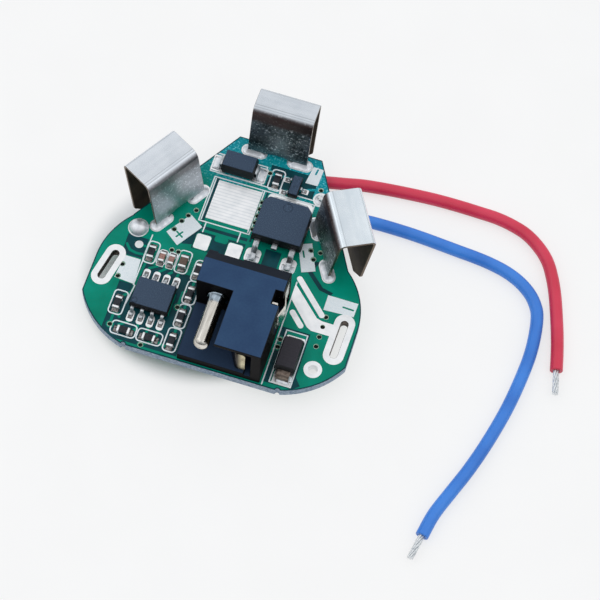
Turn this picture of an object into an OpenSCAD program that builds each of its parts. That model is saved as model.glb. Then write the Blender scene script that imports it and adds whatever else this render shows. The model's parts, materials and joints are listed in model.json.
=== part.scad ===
// Battery management board: a small shaped circuit board with a power jack,
// three folded contact clips, surface-mount parts and two soldered wires.
// Millimetres. The origin is on the underside of the board; +Y points from
// the jack's mouth to the rear clip, +Z points out of the component side.

/* [Board] */
// Thickness of the board
board_t = 1.2; // [1:0.1:1.6]
// Left side of the wide part, from the origin
side_left = 17; // [16.6:0.1:18]
// Right side of the wide part, from the origin
side_right = 16.5; // [16.2:0.1:17.5]
// Straight front edge, in front of the origin
front_edge = 15.66; // [15.6:0.02:16]
// Diameter of the small plated holes
via_d = 0.6; // [0.4:0.05:0.7]
// Diameter of the plated wire hole
wire_hole_d = 1.3; // [1:0.1:1.6]

/* [Power jack] */
// Height of the jack above the board
jack_h = 7; // [6.9:0.1:7.5]
// Left side of the jack
jack_left = -3.15; // [-3.3:0.05:-3]
// Right side of the jack
jack_right = 7.25; // [7.2:0.05:7.4]
// Front face of the jack, in front of the origin
jack_front = 15.4; // [15:0.1:15.6]
// Rear face of the jack, in front of the origin
jack_rear = 2.8; // [2.4:0.1:3]
// Height of the open deck under the pin
deck_h = 1.3; // [1:0.1:1.4]
// Height of the pin's axis above the board
pin_z = 4.1; // [4.05:0.05:4.2]
// Diameter of the centre pin
pin_d = 2; // [1.9:0.05:2.1]
// Diameter of the plug that the bay takes
plug_d = 5.5; // [5.3:0.1:5.6]

/* [Contact clips] */
// Width of a clip
clip_w = 7.8; // [7.4:0.1:8.2]
// Sheet thickness of a clip
clip_t = 0.35; // [0.3:0.05:0.5]
// Height of the inner bend above the board
clip_inner_h = 7.4; // [7:0.1:8]
// Height of the outer bend above the board
clip_outer_h = 7.1; // [6.6:0.1:7.4]

/* [Wires] */
// Outer diameter of a wire's insulation
wire_d = 1.6; // [1.4:0.1:1.8]
// Diameter of the tinned conductor
core_d = 0.8; // [0.6:0.1:1]

/* [Hidden] */

$fn = 48;
top = board_t;             // component side
floor_z = -2;              // what the clip ends and terminals stand on
pad_t = 0.05;              // tinned copper, standing just proud of the board
eps = 0.01;

// Jack
pin_x = -0.4;
pin_axis = top + pin_z;
bay_back = -8;             // front face of the jack's rear block
bay_r = plug_d / 2 + 0.05;
roof_left = 1.45;          // left edge of the roof
roof_t = 0.6;
wall_t = 1.2;
jack_top = top + jack_h;
blade_t = 0.4;             // thickness of the jack's terminals
blade_w = 2;
spring_t = 0.3;
spring_h = 4;

// Clips: place of the foot line's middle, turn about Z, then how far out of
// the foot line the inner bend, the outer bend and the free end are
clip_rear = [[0, 15], 0, 1.6, 5.05, 2.45];
clip_left = [[-9.3, 4.3], 59, 1.4, 5.9, 3.9];
clip_right = [[9.15, 4.2], -60.5, 1, 5.35, 3.9];
clips = [clip_rear, clip_left, clip_right];
tab_x = 2.9;               // middle of a solder tab, from the clip's middle
tab_w = 2;
tab_end = -1;              // lowest point of a tab
chamfer_x = 2;             // corner cut at the clip's free end

// Wires: centreline of each jacket, then the bare end beyond it
wire_z = floor_z + wire_d / 2;
red_route = [[5.4, 14.7], [7, 15.1], [9.2, 15.6], [11.4, 16.1], [14.4, 16.5],
    [17.5, 16.8], [20.5, 17], [23.5, 17.05], [26, 17], [28.6, 16.9],
    [30.8, 16.5], [32.8, 15.8], [34.7, 14.5], [36.2, 12.9], [37.3, 10.9],
    [38.2, 8.7], [39.1, 5.9], [39.9, 3.1], [40.45, 0.8], [40.9, -1.4]];
blue_route = [[8.5, 10.95], [11.2, 11.1], [14.2, 11.3], [17.6, 11.3],
    [20.1, 11.2], [22.8, 11], [25.2, 10.8], [27.7, 10.6], [29.8, 10.3],
    [31.8, 9.8], [33.6, 9], [35.1, 7.9], [36.1, 6.7], [36.8, 5.2],
    [37.2, 2.6], [37.3, -0.5], [37, -4.1], [36.5, -7.7], [35.8, -11.1],
    [34.9, -14.6], [33.9, -17.8], [32.7, -21], [31.6, -24.1], [31, -27.1]];
blue_joint = [7, 10.95];
bare_end = 3.1;            // stripped length at the free ends

// Board: small plated holes
via_places = [[-7.3, 4.65], [-8, 3.65], [-8.55, 2.65], [-9.05, 1.25],
    [0.15, 8.3], [0.15, 7.3], [0.15, 6.3], [0.15, 5.3], [0.15, 4.3],
    [7.9, 3.75], [8.55, 2.65], [9.1, 3.8], [6.6, 12.3], [-0.2, 12.65],
    [12.3, -4.45], [12.3, -5.85], [12.3, -7.25], [12.3, -8.6],
    [7.9, -9.05], [7.9, -10.1], [-5.25, -8.85], [-12.25, -13.55],
    [-7.85, -15.05], [-8.4, -1.6], [-7.55, -1.6], [-13.5, -5.35],
    [-13.5, -7.05]];
// Long plated slots: middle, turn, length and width of the slot and its pad
slot_left = [[-15.1, -5.95], 79, 4.4, 1, 6, 2.5];
slot_right = [[14.68, -6.85], 88.5, 5.3, 1, 7, 2.55];
wire_hole = [12.82, -11.67];
dome_place = [-13.28, 0.05];
dome_r = 1.2;
test_pad = [-12.45, -2.15];

// Surface-mount places: middle and turn, the chip's length along its own X
resistors = [[-10.65, -2.8, 90], [-12.3, -10.65, 90], [-10.4, -13.95, 0],
    [-7.2, -13.95, 0], [-4.45, -13.5, 90], [-4.4, -10.1, 90],
    [-4.35, -6.8, 90], [-4.4, -3.4, 90], [0.95, 11.85, 90]];
capacitors = [[-9.15, -3.1, 90], [-7.95, -3.1, 90]];
big_capacitor = [-6.45, -2.95, 90];
chip = [1.6, 0.8, 0.45];           // resistor size
small_chip = [1.3, 0.7, 0.55];     // capacitor size
big_chip = [1.6, 0.95, 0.65];
cap_l = 0.3;                       // plated end of a chip

controller_place = [-8.35, -8.8];
controller = [4.9, 3.9, 1.5];
controller_pitch = 1.27;
transistor_place = [3.6, 5.5];
transistor = [6.5, 5.9, 2.2];
transistor_pitch = 2.286;
sot_place = [3.45, 11.45];
sot = [1.3, 2.9, 1.05];
sot_pitch = 0.95;
diode = [2.6, 4.3, 2.1];
front_diode_place = [9.7, -11.3, 0];
rear_diode_place = [-4, 11.95, 90];
// Diode pads: middle and turn, then a pad's offset and its length
front_diode_pads = [9.7, -11.5, 0, 2.5, 1.7];
rear_diode_pads = [-4, 11.95, 90, 2.6, 1.9];

// ---------- small helpers ----------

function unit(v) = v / norm(v);
function perp(v) = [-v[1], v[0]];
function turned(v, a) = [v[0] * cos(a) - v[1] * sin(a), v[0] * sin(a) + v[1] * cos(a)];
function cross_z(a, b) = a[0] * b[1] - a[1] * b[0];

// Points of the arc that rounds the corner b of a path a, b, c
function corner(a, b, c, r, n = 6) =
    let (u = unit(a - b), v = unit(c - b), half = acos(u * v) / 2,
        o = b + unit(u + v) * r / sin(half),
        start = b + u * r / tan(half) - o,
        sweep = (180 - 2 * half) * sign(cross_z(-u, v)))
    [for (k = [0:n]) o + turned(start, sweep * k / n)];

// A path with every inner corner rounded, radii[i] at its point i + 1
function rounded(p, radii, n = 6) = [p[0],
    for (i = [1:len(p) - 2]) each corner(p[i - 1], p[i], p[i + 1], radii[i - 1], n),
    p[len(p) - 1]];

// The path moved sideways by d, mitred at each point
function heading(p, i) = unit(p[min(i + 1, len(p) - 1)] - p[i] +
    (i < len(p) - 1 ? [0, 0] : p[i] - p[i - 1]));
function beside(p, d) = [for (i = [0:len(p) - 1])
    let (before = i == 0 ? heading(p, 0) : unit(p[i] - p[i - 1]),
        after = i == len(p) - 1 ? before : heading(p, i),
        mid = unit(before + after))
    p[i] + perp(mid) * d / (mid * before)];

// A bent strip: sheet of thickness t that follows a path in its own X-Y plane
module strip(path, t) {
    back = beside(path, -t / 2);
    polygon(concat(beside(path, t / 2), [for (i = [len(back) - 1:-1:0]) back[i]]));
}

// A strip whose path lies in the Y-Z plane, w wide along X
module folded(path, t, w) {
    rotate([90, 0, 90]) translate([0, 0, -w / 2]) linear_extrude(w) strip(path, t);
}

// A slot shape of total length l and width w, along X
module slot_2d(l, w) {
    square([l - w, w], center = true);
    for (s = [-1, 1]) translate([s * (l - w) / 2, 0]) circle(d = w);
}

module rounded_pad(size, r) {
    square([size[0] - 2 * r, size[1]], center = true);
    square([size[0], size[1] - 2 * r], center = true);
    for (x = [-1, 1], y = [-1, 1])
        translate([x * (size[0] / 2 - r), y * (size[1] / 2 - r)]) circle(r, $fn = 24);
}

// Puts the children at a place [x, y, turn] on the component side
module at(p) {
    translate([p[0], p[1], top]) rotate([0, 0, len(p) > 2 ? p[2] : 0]) children();
}

// A box whose sides lean in towards the top by draft, standing on z = 0
module moulded(size, waist, draft) {
    rotate([90, 0, 0]) translate([0, 0, -size[1] / 2]) intersection() {
        linear_extrude(size[1]) polygon([
            [-size[0] / 2 + draft, 0], [size[0] / 2 - draft, 0], [size[0] / 2, waist],
            [size[0] / 2 - draft, size[2]], [-size[0] / 2 + draft, size[2]],
            [-size[0] / 2, waist]]);
        translate([-size[0], 0, size[1] / 2]) rotate([0, 90, 0])
            linear_extrude(2 * size[0]) polygon([
                [-size[1] / 2 + draft, 0], [-size[1] / 2 + draft, 0],
                [-size[1] / 2, waist], [-size[1] / 2 + draft, size[2]],
                [size[1] / 2 - draft, size[2]], [size[1] / 2, waist],
                [size[1] / 2 - draft, 0]]);
    }
}

// ---------- board ----------

shoulder_r = 9.85;
lower_r = 11;
waist_y = -5;

module tower_shape() {
    polygon([[-5.4, 16.6], [5.5, 16.5], [13.45, 1.8], [8, -3], [-8, -3], [-14.5, 1.65]]);
}

module shoulder_shape() {
    for (x = [-side_left + shoulder_r, side_right - shoulder_r])
        translate([x, waist_y]) circle(shoulder_r, $fn = 120);
    translate([-side_left + shoulder_r, -front_edge])
        square([side_left + side_right - 2 * shoulder_r, front_edge + 2]);
    translate([-side_left, -front_edge])
        square([side_left + side_right, front_edge + waist_y]);
}

module lower_shape() {
    for (x = [-side_left + 9.7, side_right - 9.7])
        translate([x, waist_y]) circle(lower_r, $fn = 120);
    translate([-9.7, -front_edge]) square([19.3, front_edge]);
    translate([-side_left, waist_y]) square([side_left + side_right, 12]);
}

module board_blank() {
    linear_extrude(board_t) tower_shape();
    intersection() {
        linear_extrude(board_t) shoulder_shape();
        linear_extrude(board_t) lower_shape();
        translate([-20, -front_edge, -1]) cube([40, 40, board_t + 2]);
    }
}

module clip_slots() {
    for (c = clips, s = [-1, 1])
        translate(c[0]) rotate(c[1]) translate([s * tab_x, 0]) slot_2d(tab_w + 0.5, 0.7);
}

jack_slots = [[pin_x, -3.1, 0], [4.5, -6, 0], [6.9, -4.4, 90]];

module circuit_board() {
    color("#0b7f62") difference() {
        board_blank();
        translate([0, 0, -1]) linear_extrude(board_t + 2) {
            clip_slots();
            for (p = jack_slots)
                translate([p[0], p[1]]) rotate(p[2]) slot_2d(blade_w + 0.7, 0.9);
            for (s = [slot_left, slot_right])
                translate(s[0]) rotate(s[1]) slot_2d(s[2], s[3]);
        }
        for (p = via_places)
            translate([p[0], p[1], -1]) cylinder(d = via_d, h = board_t + 2, $fn = 16);
        translate([wire_hole[0], wire_hole[1], -1]) cylinder(d = wire_hole_d, h = board_t + 2);
        translate([blue_joint[0], blue_joint[1], -1]) cylinder(d = 1, h = board_t + 2);
        // half holes where the board was snapped out of its panel
        for (x = [-9.88, 9.6])
            translate([x, -front_edge, -1]) cylinder(d = 0.6, h = board_t + 2, $fn = 16);
    }
}

// Tinned copper that the solder mask leaves bare, on the component side
module top_copper() {
    for (s = [slot_left, slot_right]) translate(s[0]) rotate(s[1]) difference() {
        slot_2d(s[4], s[5]);
        slot_2d(s[2], s[3]);
    }
    translate(wire_hole) difference() {
        circle(1.12);
        circle(d = wire_hole_d);
    }
    translate(blue_joint) difference() {
        circle(1);
        circle(d = 1);
    }
    for (c = clips, s = [-1, 1])
        translate(c[0]) rotate(c[1]) translate([s * (tab_x + 0.1), 0]) difference() {
            slot_2d(3.4, 1.7);
            translate([-s * 0.1, 0]) slot_2d(tab_w + 0.5, 0.7);
        }
    translate(test_pad) circle(0.52);
    translate(dome_place) circle(dome_r + 0.1);
    // power tracks beside the jack
    track([7.75, -0.45], [11.75, -4.4], 0.72);
    track([8.25, -5.1], [9.7, -6.55], 0.72);
    difference() {
        polygon([[7.5, -1.3], [11.3, -4.95], [12, -5.15], [13.8, -5.15], [13.8, -6.8],
            [11.1, -6.8], [10.5, -6.5], [7.5, -3.35]]);
        translate([12.3, -5.85]) circle(d = via_d, $fn = 16);
    }
    // empty transistor place
    translate([-3.1, 6.85]) rounded_pad([5.65, 5.65], 0.1);
    for (x = [-5.2, -1.1]) translate([x, 0.6]) rounded_pad([1.85, 2.1], 0.3);
    // transistor
    translate([transistor_place[0] - 0.1, 6.8]) rounded_pad([5.8, 6.2], 0.5);
    for (s = [-1, 1]) translate([transistor_place[0] + s * transistor_pitch - 0.05, 0.75])
        rounded_pad([1.95, 2.1], 0.6);
    // controller
    for (k = [-1.5:1.5], s = [-1, 1])
        translate([controller_place[0] + k * controller_pitch, controller_place[1] + s * 2.95])
            rounded_pad([0.85, 1.6], 0.35);
    // small transistor
    for (p = sot_feet) translate([sot_place[0] + p[0] * 1.3, sot_place[1] + p[1] * sot_pitch])
        rounded_pad([0.9, 0.7], 0.1);
    // diodes
    for (p = [front_diode_pads, rear_diode_pads])
        translate([p[0], p[1]]) rotate(p[2]) for (s = [-1, 1])
            translate([0, s * p[3]]) rounded_pad([2.3, p[4]], 0.2);
    // chips
    for (p = concat(resistors, capacitors)) chip_pads(p, chip);
    chip_pads(big_capacitor, big_chip);
}

module track(a, b, w) {
    translate((a + b) / 2) rotate(atan2(b[1] - a[1], b[0] - a[0]))
        slot_2d(norm(b - a) + w, w);
}

module chip_pads(p, size) {
    translate([p[0], p[1]]) rotate(p[2]) for (s = [-1, 1])
        translate([s * size[0] / 2, 0]) rounded_pad([0.7, size[1] + 0.1], 0.1);
}

// The same bare copper on the underside, round what is soldered through
module underside_copper() {
    for (c = clips, s = [-1, 1])
        translate(c[0]) rotate(c[1]) translate([s * (tab_x + 0.1), 0]) difference() {
            slot_2d(3.4, 1.7);
            translate([-s * 0.1, 0]) slot_2d(tab_w + 0.5, 0.7);
        }
    for (p = jack_slots) translate([p[0], p[1]]) rotate(p[2]) difference() {
        slot_2d(3.7, 1.9);
        slot_2d(blade_w + 0.7, 0.9);
    }
    for (s = [slot_left, slot_right]) translate(s[0]) rotate(s[1]) difference() {
        slot_2d(s[4], s[5]);
        slot_2d(s[2], s[3]);
    }
    translate(wire_hole) difference() {
        circle(1.12);
        circle(d = wire_hole_d);
    }
    translate(blue_joint) difference() {
        circle(1);
        circle(d = 1);
    }
}

module surface_pads() {
    color("#d9dde3") {
        translate([0, 0, top]) linear_extrude(pad_t) top_copper();
        translate([0, 0, -pad_t]) linear_extrude(pad_t) underside_copper();
    }
}

// ---------- solder ----------

// A mound of solder of slot shape: a cap on round ends joined by a bar
module mound(l, w, h) {
    r = (w * w / 4 + h * h) / (2 * h);
    intersection() {
        union() {
            for (s = [-1, 1]) translate([s * (l - w) / 2, 0, h - r]) sphere(r, $fn = 32);
            translate([0, 0, h - r]) rotate([0, 90, 0])
                cylinder(r = r, h = l - w, center = true, $fn = 32);
        }
        translate([-l, -l, 0]) cube([2 * l, 2 * l, h + 1]);
    }
}

module solder_joints() {
    color("#b9bec6") {
        for (c = clips) difference() {
            translate([c[0][0], c[0][1], 0]) rotate([0, 0, c[1]]) for (s = [-1, 1])
                translate([s * (tab_x + 0.1), 0, 0]) {
                    translate([0, 0, top + pad_t]) mound(3, 1.4, 0.45);
                    translate([0, 0, -pad_t]) mirror([0, 0, 1]) mound(3, 1.4, 0.75);
                }
            clip(c);
        }
        for (p = jack_slots) difference() {
            translate([p[0], p[1], -pad_t]) rotate([0, 0, p[2]]) mirror([0, 0, 1])
                mound(3.2, 1.6, 0.9);
            translate([p[0], p[1], 0]) rotate([0, 0, p[2]])
                cube([blade_w, blade_t, 12], center = true);
        }
        difference() {
            translate([blue_joint[0], blue_joint[1], top + pad_t]) mound(1.6, 1.5, 0.5);
            translate([blue_joint[0], blue_joint[1], 0]) cylinder(d = core_d, h = 6);
        }
    }
}

module solder_dome() {
    color("#c8ccd2") translate([dome_place[0], dome_place[1], top + pad_t])
        mound(2 * dome_r + eps, 2 * dome_r, 0.95);
}

// ---------- power jack ----------

// Plan of the well in the deck, where the spring contact moves
well_plan = [[2.7, bay_back], [2.7, -12.8], [5.6, -14.7], [6.05, -14.7], [6.05, bay_back]];

module jack_housing() {
    w = jack_right - jack_left;
    color("#26334d") difference() {
        // body with its chamfered rear edge, as a side profile
        translate([jack_left, 0, 0]) rotate([90, 0, 90]) linear_extrude(w) polygon([
            [-jack_front, top], [-jack_rear, top], [-jack_rear, jack_top - 1.5],
            [-jack_rear - 1.9, jack_top], [-jack_front, jack_top]]);
        // open side over the deck
        translate([jack_left - 1, -jack_front - 1, top + deck_h])
            cube([roof_left - jack_left + 1, jack_front + 1 + bay_back, jack_h]);
        // round bay for the plug and the contact's space under the roof
        translate([pin_x, bay_back, pin_axis]) rotate([90, 0, 0]) cylinder(r = bay_r, h = 9);
        translate([roof_left - eps, -jack_front - 1, top + deck_h])
            cube([jack_right - wall_t - roof_left, jack_front + 1 + bay_back,
                jack_h - deck_h - roof_t]);
        // well in the deck, with a low sill at the mouth
        translate([0, 0, top + 0.9]) linear_extrude(3) polygon(well_plan);
        translate([5.2, -jack_front - 1, top + 0.9]) cube([0.85, 2, 1]);
        // seat of the pin's collar and its shank
        translate([pin_x, bay_back + 0.3, pin_axis]) rotate([90, 0, 0]) cylinder(r = 1.5, h = 1);
        translate([pin_x, -3.6, pin_axis]) rotate([90, 0, 0]) cylinder(d = 1.8, h = 5);
        // rear pocket of the pin's terminal
        translate([pin_x - 1.6, -3.6, top - 1]) cube([3.2, 2, pin_z + 2.6]);
        // seat of the spring contact's root and its leg
        translate([3.4, -8.5, top - 1]) cube([2.2, 3, 6.6]);
        // opening in the roof over the contact's root
        translate([6.2, -8.2, top + 2.4]) cube([3, 1.95, jack_h]);
        // channel of the switch contact on the right side
        translate([6.7, -9.6, top + 1.6]) cube([1, 6.2, 3.4]);
        translate([6.7, -5.5, top - 1]) cube([1, 2.2, 3]);
        // window through the wall where the two contacts touch
        translate([5.8, -9.4, top + 1.8]) cube([2, 1.3, 3]);
    }
}

module jack_pin() {
    r = pin_d / 2;
    front = jack_front - 0.35;
    // half profile, from the rivet head at the back to the round nose
    profile = concat([[0, 3.3], [1.1, 3.3], [1.1, 3.6 - eps], [0.9, 3.6 - eps], [0.9, 7.7],
        [1.3, 7.7], [1.3, 8.2], [0.7, 8.75], [r, 9.2]],
        [for (a = [0:15:75]) [r - 0.8 + 0.8 * cos(a), front - 0.8 + 0.8 * sin(a)]],
        [[r - 0.8, front], [0, front]]);
    color("#d8d4cc") translate([pin_x, 0, pin_axis]) rotate([90, 0, 0])
        rotate_extrude($fn = 64) polygon(profile);
}

module jack_pin_terminal() {
    color("#c7c9cc") difference() {
        translate([pin_x, -3.1, 0]) {
            translate([-1.45, -0.5 + eps, top + 0.1]) cube([2.9, blade_t, pin_z + 1.4]);
            translate([-blade_w / 2, -blade_t / 2, floor_z])
                cube([blade_w, blade_t, top - floor_z + 0.6]);
        }
        translate([pin_x, 0, pin_axis]) rotate([90, 0, 0]) cylinder(d = 1.8, h = 9);
        translate([pin_x, -3, pin_axis]) rotate([90, 0, 0]) cylinder(d = 2.2, h = 0.6 - eps);
    }
}

module jack_spring_contact() {
    low = top + 1.35;
    tip = [5.25, -14.85];
    path = rounded([[4.5, -5.7], [4.5, -8.3], [3.15, -10], [2.75, -11.6], [3.2, -13.2],
        [4.1, tip[1]], tip], [0.6, 1.2, 1, 0.8, 0.4]);
    color("#d9c58a") difference() {
        union() {
            translate([0, 0, low]) linear_extrude(spring_h) strip(path, spring_t);
            translate([4.5 - blade_w / 2, -6 - blade_t / 2, floor_z])
                cube([blade_w, blade_t, low - floor_z + spring_h - 0.1]);
        }
        // rounded corners at the free end
        for (s = [0, 1]) translate([tip[0] - 0.45, tip[1] + 1, low + 0.45 + s * (spring_h - 0.9)])
            rotate([90, 0, 0]) linear_extrude(2) difference() {
                translate([0, s ? 0 : -1]) square(1);
                circle(0.45);
            }
    }
}

module jack_switch_contact() {
    path = rounded([[7.1, -3.6], [7.15, -5.2], [7.7, -6.9], [7.2, -8.6], [6.4, -8.9]],
        [1, 1.5, 0.6]);
    color("#d0d4d6") {
        translate([0, 0, top + 1.8]) linear_extrude(3) strip(path, 0.25);
        // ear that stands up in the notch of the roof
        translate([6.3, -8.15, top + 3]) cube([0.7, 0.3, jack_h - 3.05]);
        translate([6.3, -8.15, top + 3]) cube([1.1, 0.3, 1.6]);
        translate([6.9 - blade_t / 2, -4.4 - blade_w / 2, floor_z])
            cube([blade_t, blade_w, top - floor_z + 2.4]);
    }
}

// ---------- contact clips ----------

module clip(c) {
    foot_top = top + clip_t / 2;
    path = rounded([[0, tab_end], [0, foot_top + 0.1], [c[2], top + clip_inner_h],
        [c[3], top + clip_outer_h], [c[4], floor_z]], [1, 0.9, 0.5]);
    color("#c9ced6") translate([c[0][0], c[0][1], 0]) rotate([0, 0, c[1]]) difference() {
        folded(path, clip_t, clip_w);
        // arch between the two tabs, and the shoulders outside them
        tab_in = tab_x - tab_w / 2;
        translate([0, 0, -3]) linear_extrude(3 + top)
            square([2 * tab_in, 1], center = true);
        translate([0, 0.1, top]) rotate([90, 0, 0]) scale([1, 0.35, 1])
            cylinder(r = tab_in, h = 2, center = true);
        for (s = [-1, 1])
            translate([s * (tab_x + tab_w / 2 + 1), 0, top - 4]) cube([2, 1, 8], center = true);
        // corners cut off the free end
        for (s = [-1, 1]) translate([0, 8, 0]) rotate([90, 0, 0]) linear_extrude(6.8)
            polygon([[s * clip_w, 0], [s * clip_w / 2, 0],
                [s * (clip_w / 2 - chamfer_x), floor_z], [s * (clip_w / 2 - chamfer_x), floor_z - 1],
                [s * clip_w, floor_z - 1]]);
    }
}

module rear_clip() { clip(clip_rear); }
module left_clip() { clip(clip_left); }
module right_clip() { clip(clip_right); }

// ---------- surface-mount parts ----------

// Gull-wing path from a body's side down to its pad
function gull(reach, root, foot, t) = rounded([[-0.3, root], [0.35 * reach, root],
    [0.6 * reach, t / 2 + 0.02], [reach, t / 2 + 0.02]], [foot, foot], 4);

module controller_body() {
    color("#2b2f38") at(controller_place) translate([0, 0, 0.15]) difference() {
        moulded([controller[0], controller[1], controller[2] - 0.15], 0.65, 0.12);
        translate([-1.9, -1.4, controller[2] - 0.2]) cylinder(d = 0.7, h = 1, $fn = 24);
    }
}

module controller_leads() {
    path = gull(1.05, 0.8, 0.15, 0.2);
    color("#c9ccd1") difference() {
        at(controller_place) translate([0, 0, pad_t]) for (k = [-1.5:1.5], s = [0, 180])
            rotate([0, 0, s]) translate([k * controller_pitch, controller[1] / 2, 0])
                folded(path, 0.2, 0.42);
        controller_body();
    }
}

module transistor_body() {
    c = 0.9;
    size = [transistor[0], transistor[1], transistor[2]];
    color("#2d3547") at(transistor_place) translate([0, 0, 0.5]) difference() {
        moulded([size[0], size[1], size[2] - 0.5], 0.5, 0.15);
        for (s = [-1, 1]) translate([s * size[0] / 2, size[1] / 2, 0])
            rotate([0, 0, 45]) cube([c * sqrt(2), c * sqrt(2), 9], center = true);
        translate([0.1, 1.9, size[2] - 0.55]) cylinder(d = 1.1, h = 1, $fn = 32);
    }
}

module transistor_tab() {
    color("#c3c8cf") at(transistor_place) translate([0, 0, pad_t]) difference() {
        union() {
            translate([-2.6, -2.2, 0]) cube([5.2, 6.1, 0.45]);
            translate([-transistor[0] / 2 + 0.3, -2.2, 0])
                cube([transistor[0] - 0.6, 4.6, 0.44]);
        }
        for (s = [-1, 1]) translate([s * 2.6, 3.9, 0])
            rotate([0, 0, 45]) cube([0.7, 0.7, 2], center = true);
    }
}

module transistor_leads() {
    path = gull(2.6, 1.1, 0.4, 0.5);
    color("#c9ccd1") difference() {
        at(transistor_place) translate([0, -transistor[1] / 2, pad_t]) {
            for (s = [-1, 1]) translate([s * transistor_pitch, 0, 0])
                rotate([0, 0, 180]) folded(path, 0.45, 0.7);
            // centre lead, cropped short
            translate([-0.35, -0.75, 0.87]) cube([0.7, 1, 0.45]);
        }
        transistor_body();
    }
}

// Feet of the small transistor: side and place along it
sot_feet = [[-1, 1], [-1, -1], [1, 0]];

module switch_transistor_body() {
    color("#23262e") at(sot_place) translate([0, 0, 0.1])
        moulded([sot[0], sot[1], sot[2] - 0.1], 0.45, 0.1);
}

module switch_transistor_leads() {
    path = gull(0.6, 0.5, 0.1, 0.12);
    color("#c9ccd1") difference() {
        at(sot_place) translate([0, 0, pad_t]) for (p = sot_feet)
            translate([p[0] * sot[0] / 2, p[1] * sot_pitch, 0])
                rotate([0, 0, -90 * p[0]]) folded(path, 0.12, 0.4);
        switch_transistor_body();
    }
}

module diode_body(p) {
    color("#2a303c") at(p) translate([0, 0, 0.2])
        moulded([diode[0], diode[1], diode[2] - 0.2], 0.9, 0.17);
}

// Leads that leave the ends at half height and fold under the body
module diode_leads(p) {
    path = rounded([[-0.3, 1.1], [0.3, 1.1], [0.3, 0.13], [-0.9, 0.13]], [0.25, 0.2], 4);
    color("#a9a298") difference() {
        at(p) translate([0, 0, pad_t]) for (s = [0, 180])
            rotate([0, 0, s]) translate([0, diode[1] / 2, 0]) folded(path, 0.2, 1.4);
        diode_body(p);
    }
}

module front_diode_body() { diode_body(front_diode_place); }
module front_diode_leads() { diode_leads(front_diode_place); }
module rear_diode_body() { diode_body(rear_diode_place); }
module rear_diode_leads() { diode_leads(rear_diode_place); }

module chip_middle(size) {
    translate([0, 0, size[2] / 2 + pad_t + 0.02])
        cube([size[0] - 2 * cap_l, size[1], size[2]], center = true);
}

module chip_ends(size) {
    for (s = [-1, 1]) translate([s * (size[0] - cap_l) / 2, 0, size[2] / 2 + pad_t + 0.02])
        cube([cap_l, size[1] + 0.04, size[2] + 0.04], center = true);
}

module chip_resistor_bodies() {
    color("#1d2026") for (p = resistors) at(p) chip_middle(chip);
}

module chip_resistor_caps() {
    color("#d5d8dc") for (p = resistors) at(p) chip_ends(chip);
}

module chip_capacitor_bodies() {
    color("#9a6a5c") {
        for (p = capacitors) at(p) chip_middle(small_chip);
        at(big_capacitor) chip_middle(big_chip);
    }
}

module chip_capacitor_caps() {
    color("#d5d8dc") {
        for (p = capacitors) at(p) chip_ends(small_chip);
        at(big_capacitor) chip_ends(big_chip);
    }
}

// ---------- wires ----------

function along(p, i) = unit(p[min(i + 1, len(p) - 1)] - p[max(i - 1, 0)]);
function ring(p, i, r, n) = let (side = -perp(along(p, i)))
    [for (k = [0:n - 1]) let (a = 360 * (k + 0.5) / n)
        [p[i][0] + side[0] * r * cos(a), p[i][1] + side[1] * r * cos(a), wire_z + r * sin(a)]];

// Closed tube round a flat route, n-sided
module tube(p, r, n = 8) {
    last = len(p) - 1;
    points = [for (i = [0:last]) each ring(p, i, r, n)];
    faces = concat([[for (k = [n - 1:-1:0]) k]],
        [for (i = [0:last - 1], k = [0:n - 1]) let (a = i * n, b = a + n, m = (k + 1) % n)
            [a + m, b + m, b + k, a + k]],
        [[for (k = [0:n - 1]) last * n + k]]);
    polyhedron(points, faces);
}

module wire_jacket(route) {
    tube(route, wire_d / 2);
}

// Bare conductor at both ends of a jacket, near_l long at the board
module wire_core(route, near_l) {
    last = len(route) - 1;
    back = unit(route[0] - route[1]);
    on = unit(route[last] - route[last - 1]);
    tube([route[0] + back * near_l, route[0]], core_d / 2);
    tube([for (k = [0:2]) route[last] + on * bare_end * k / 2], core_d / 2);
}

module red_wire_jacket() { color("#c8202f") wire_jacket(red_route); }
module red_wire_core() { color("#c9ccd1") wire_core(red_route, 1.35); }
module blue_wire_jacket() { color("#2a63cf") wire_jacket(blue_route); }
module blue_wire_core() {
    color("#c9ccd1") {
        wire_core(blue_route, 1.4);
        translate([blue_joint[0], blue_joint[1], wire_z - core_d / 2])
            cylinder(d = core_d, h = top + pad_t + 0.7 - wire_z + core_d / 2);
    }
}

circuit_board();
surface_pads();
solder_joints();
solder_dome();
jack_housing();
jack_pin();
jack_pin_terminal();
jack_spring_contact();
jack_switch_contact();
rear_clip();
left_clip();
right_clip();
controller_body();
controller_leads();
transistor_body();
transistor_tab();
transistor_leads();
switch_transistor_body();
switch_transistor_leads();
front_diode_body();
front_diode_leads();
rear_diode_body();
rear_diode_leads();
chip_resistor_bodies();
chip_resistor_caps();
chip_capacitor_bodies();
chip_capacitor_caps();
red_wire_jacket();
red_wire_core();
blue_wire_jacket();
blue_wire_core();
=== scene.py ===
import json
import math

import bpy
import bmesh
from mathutils import Matrix, Vector
from mathutils.geometry import delaunay_2d_cdt


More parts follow.
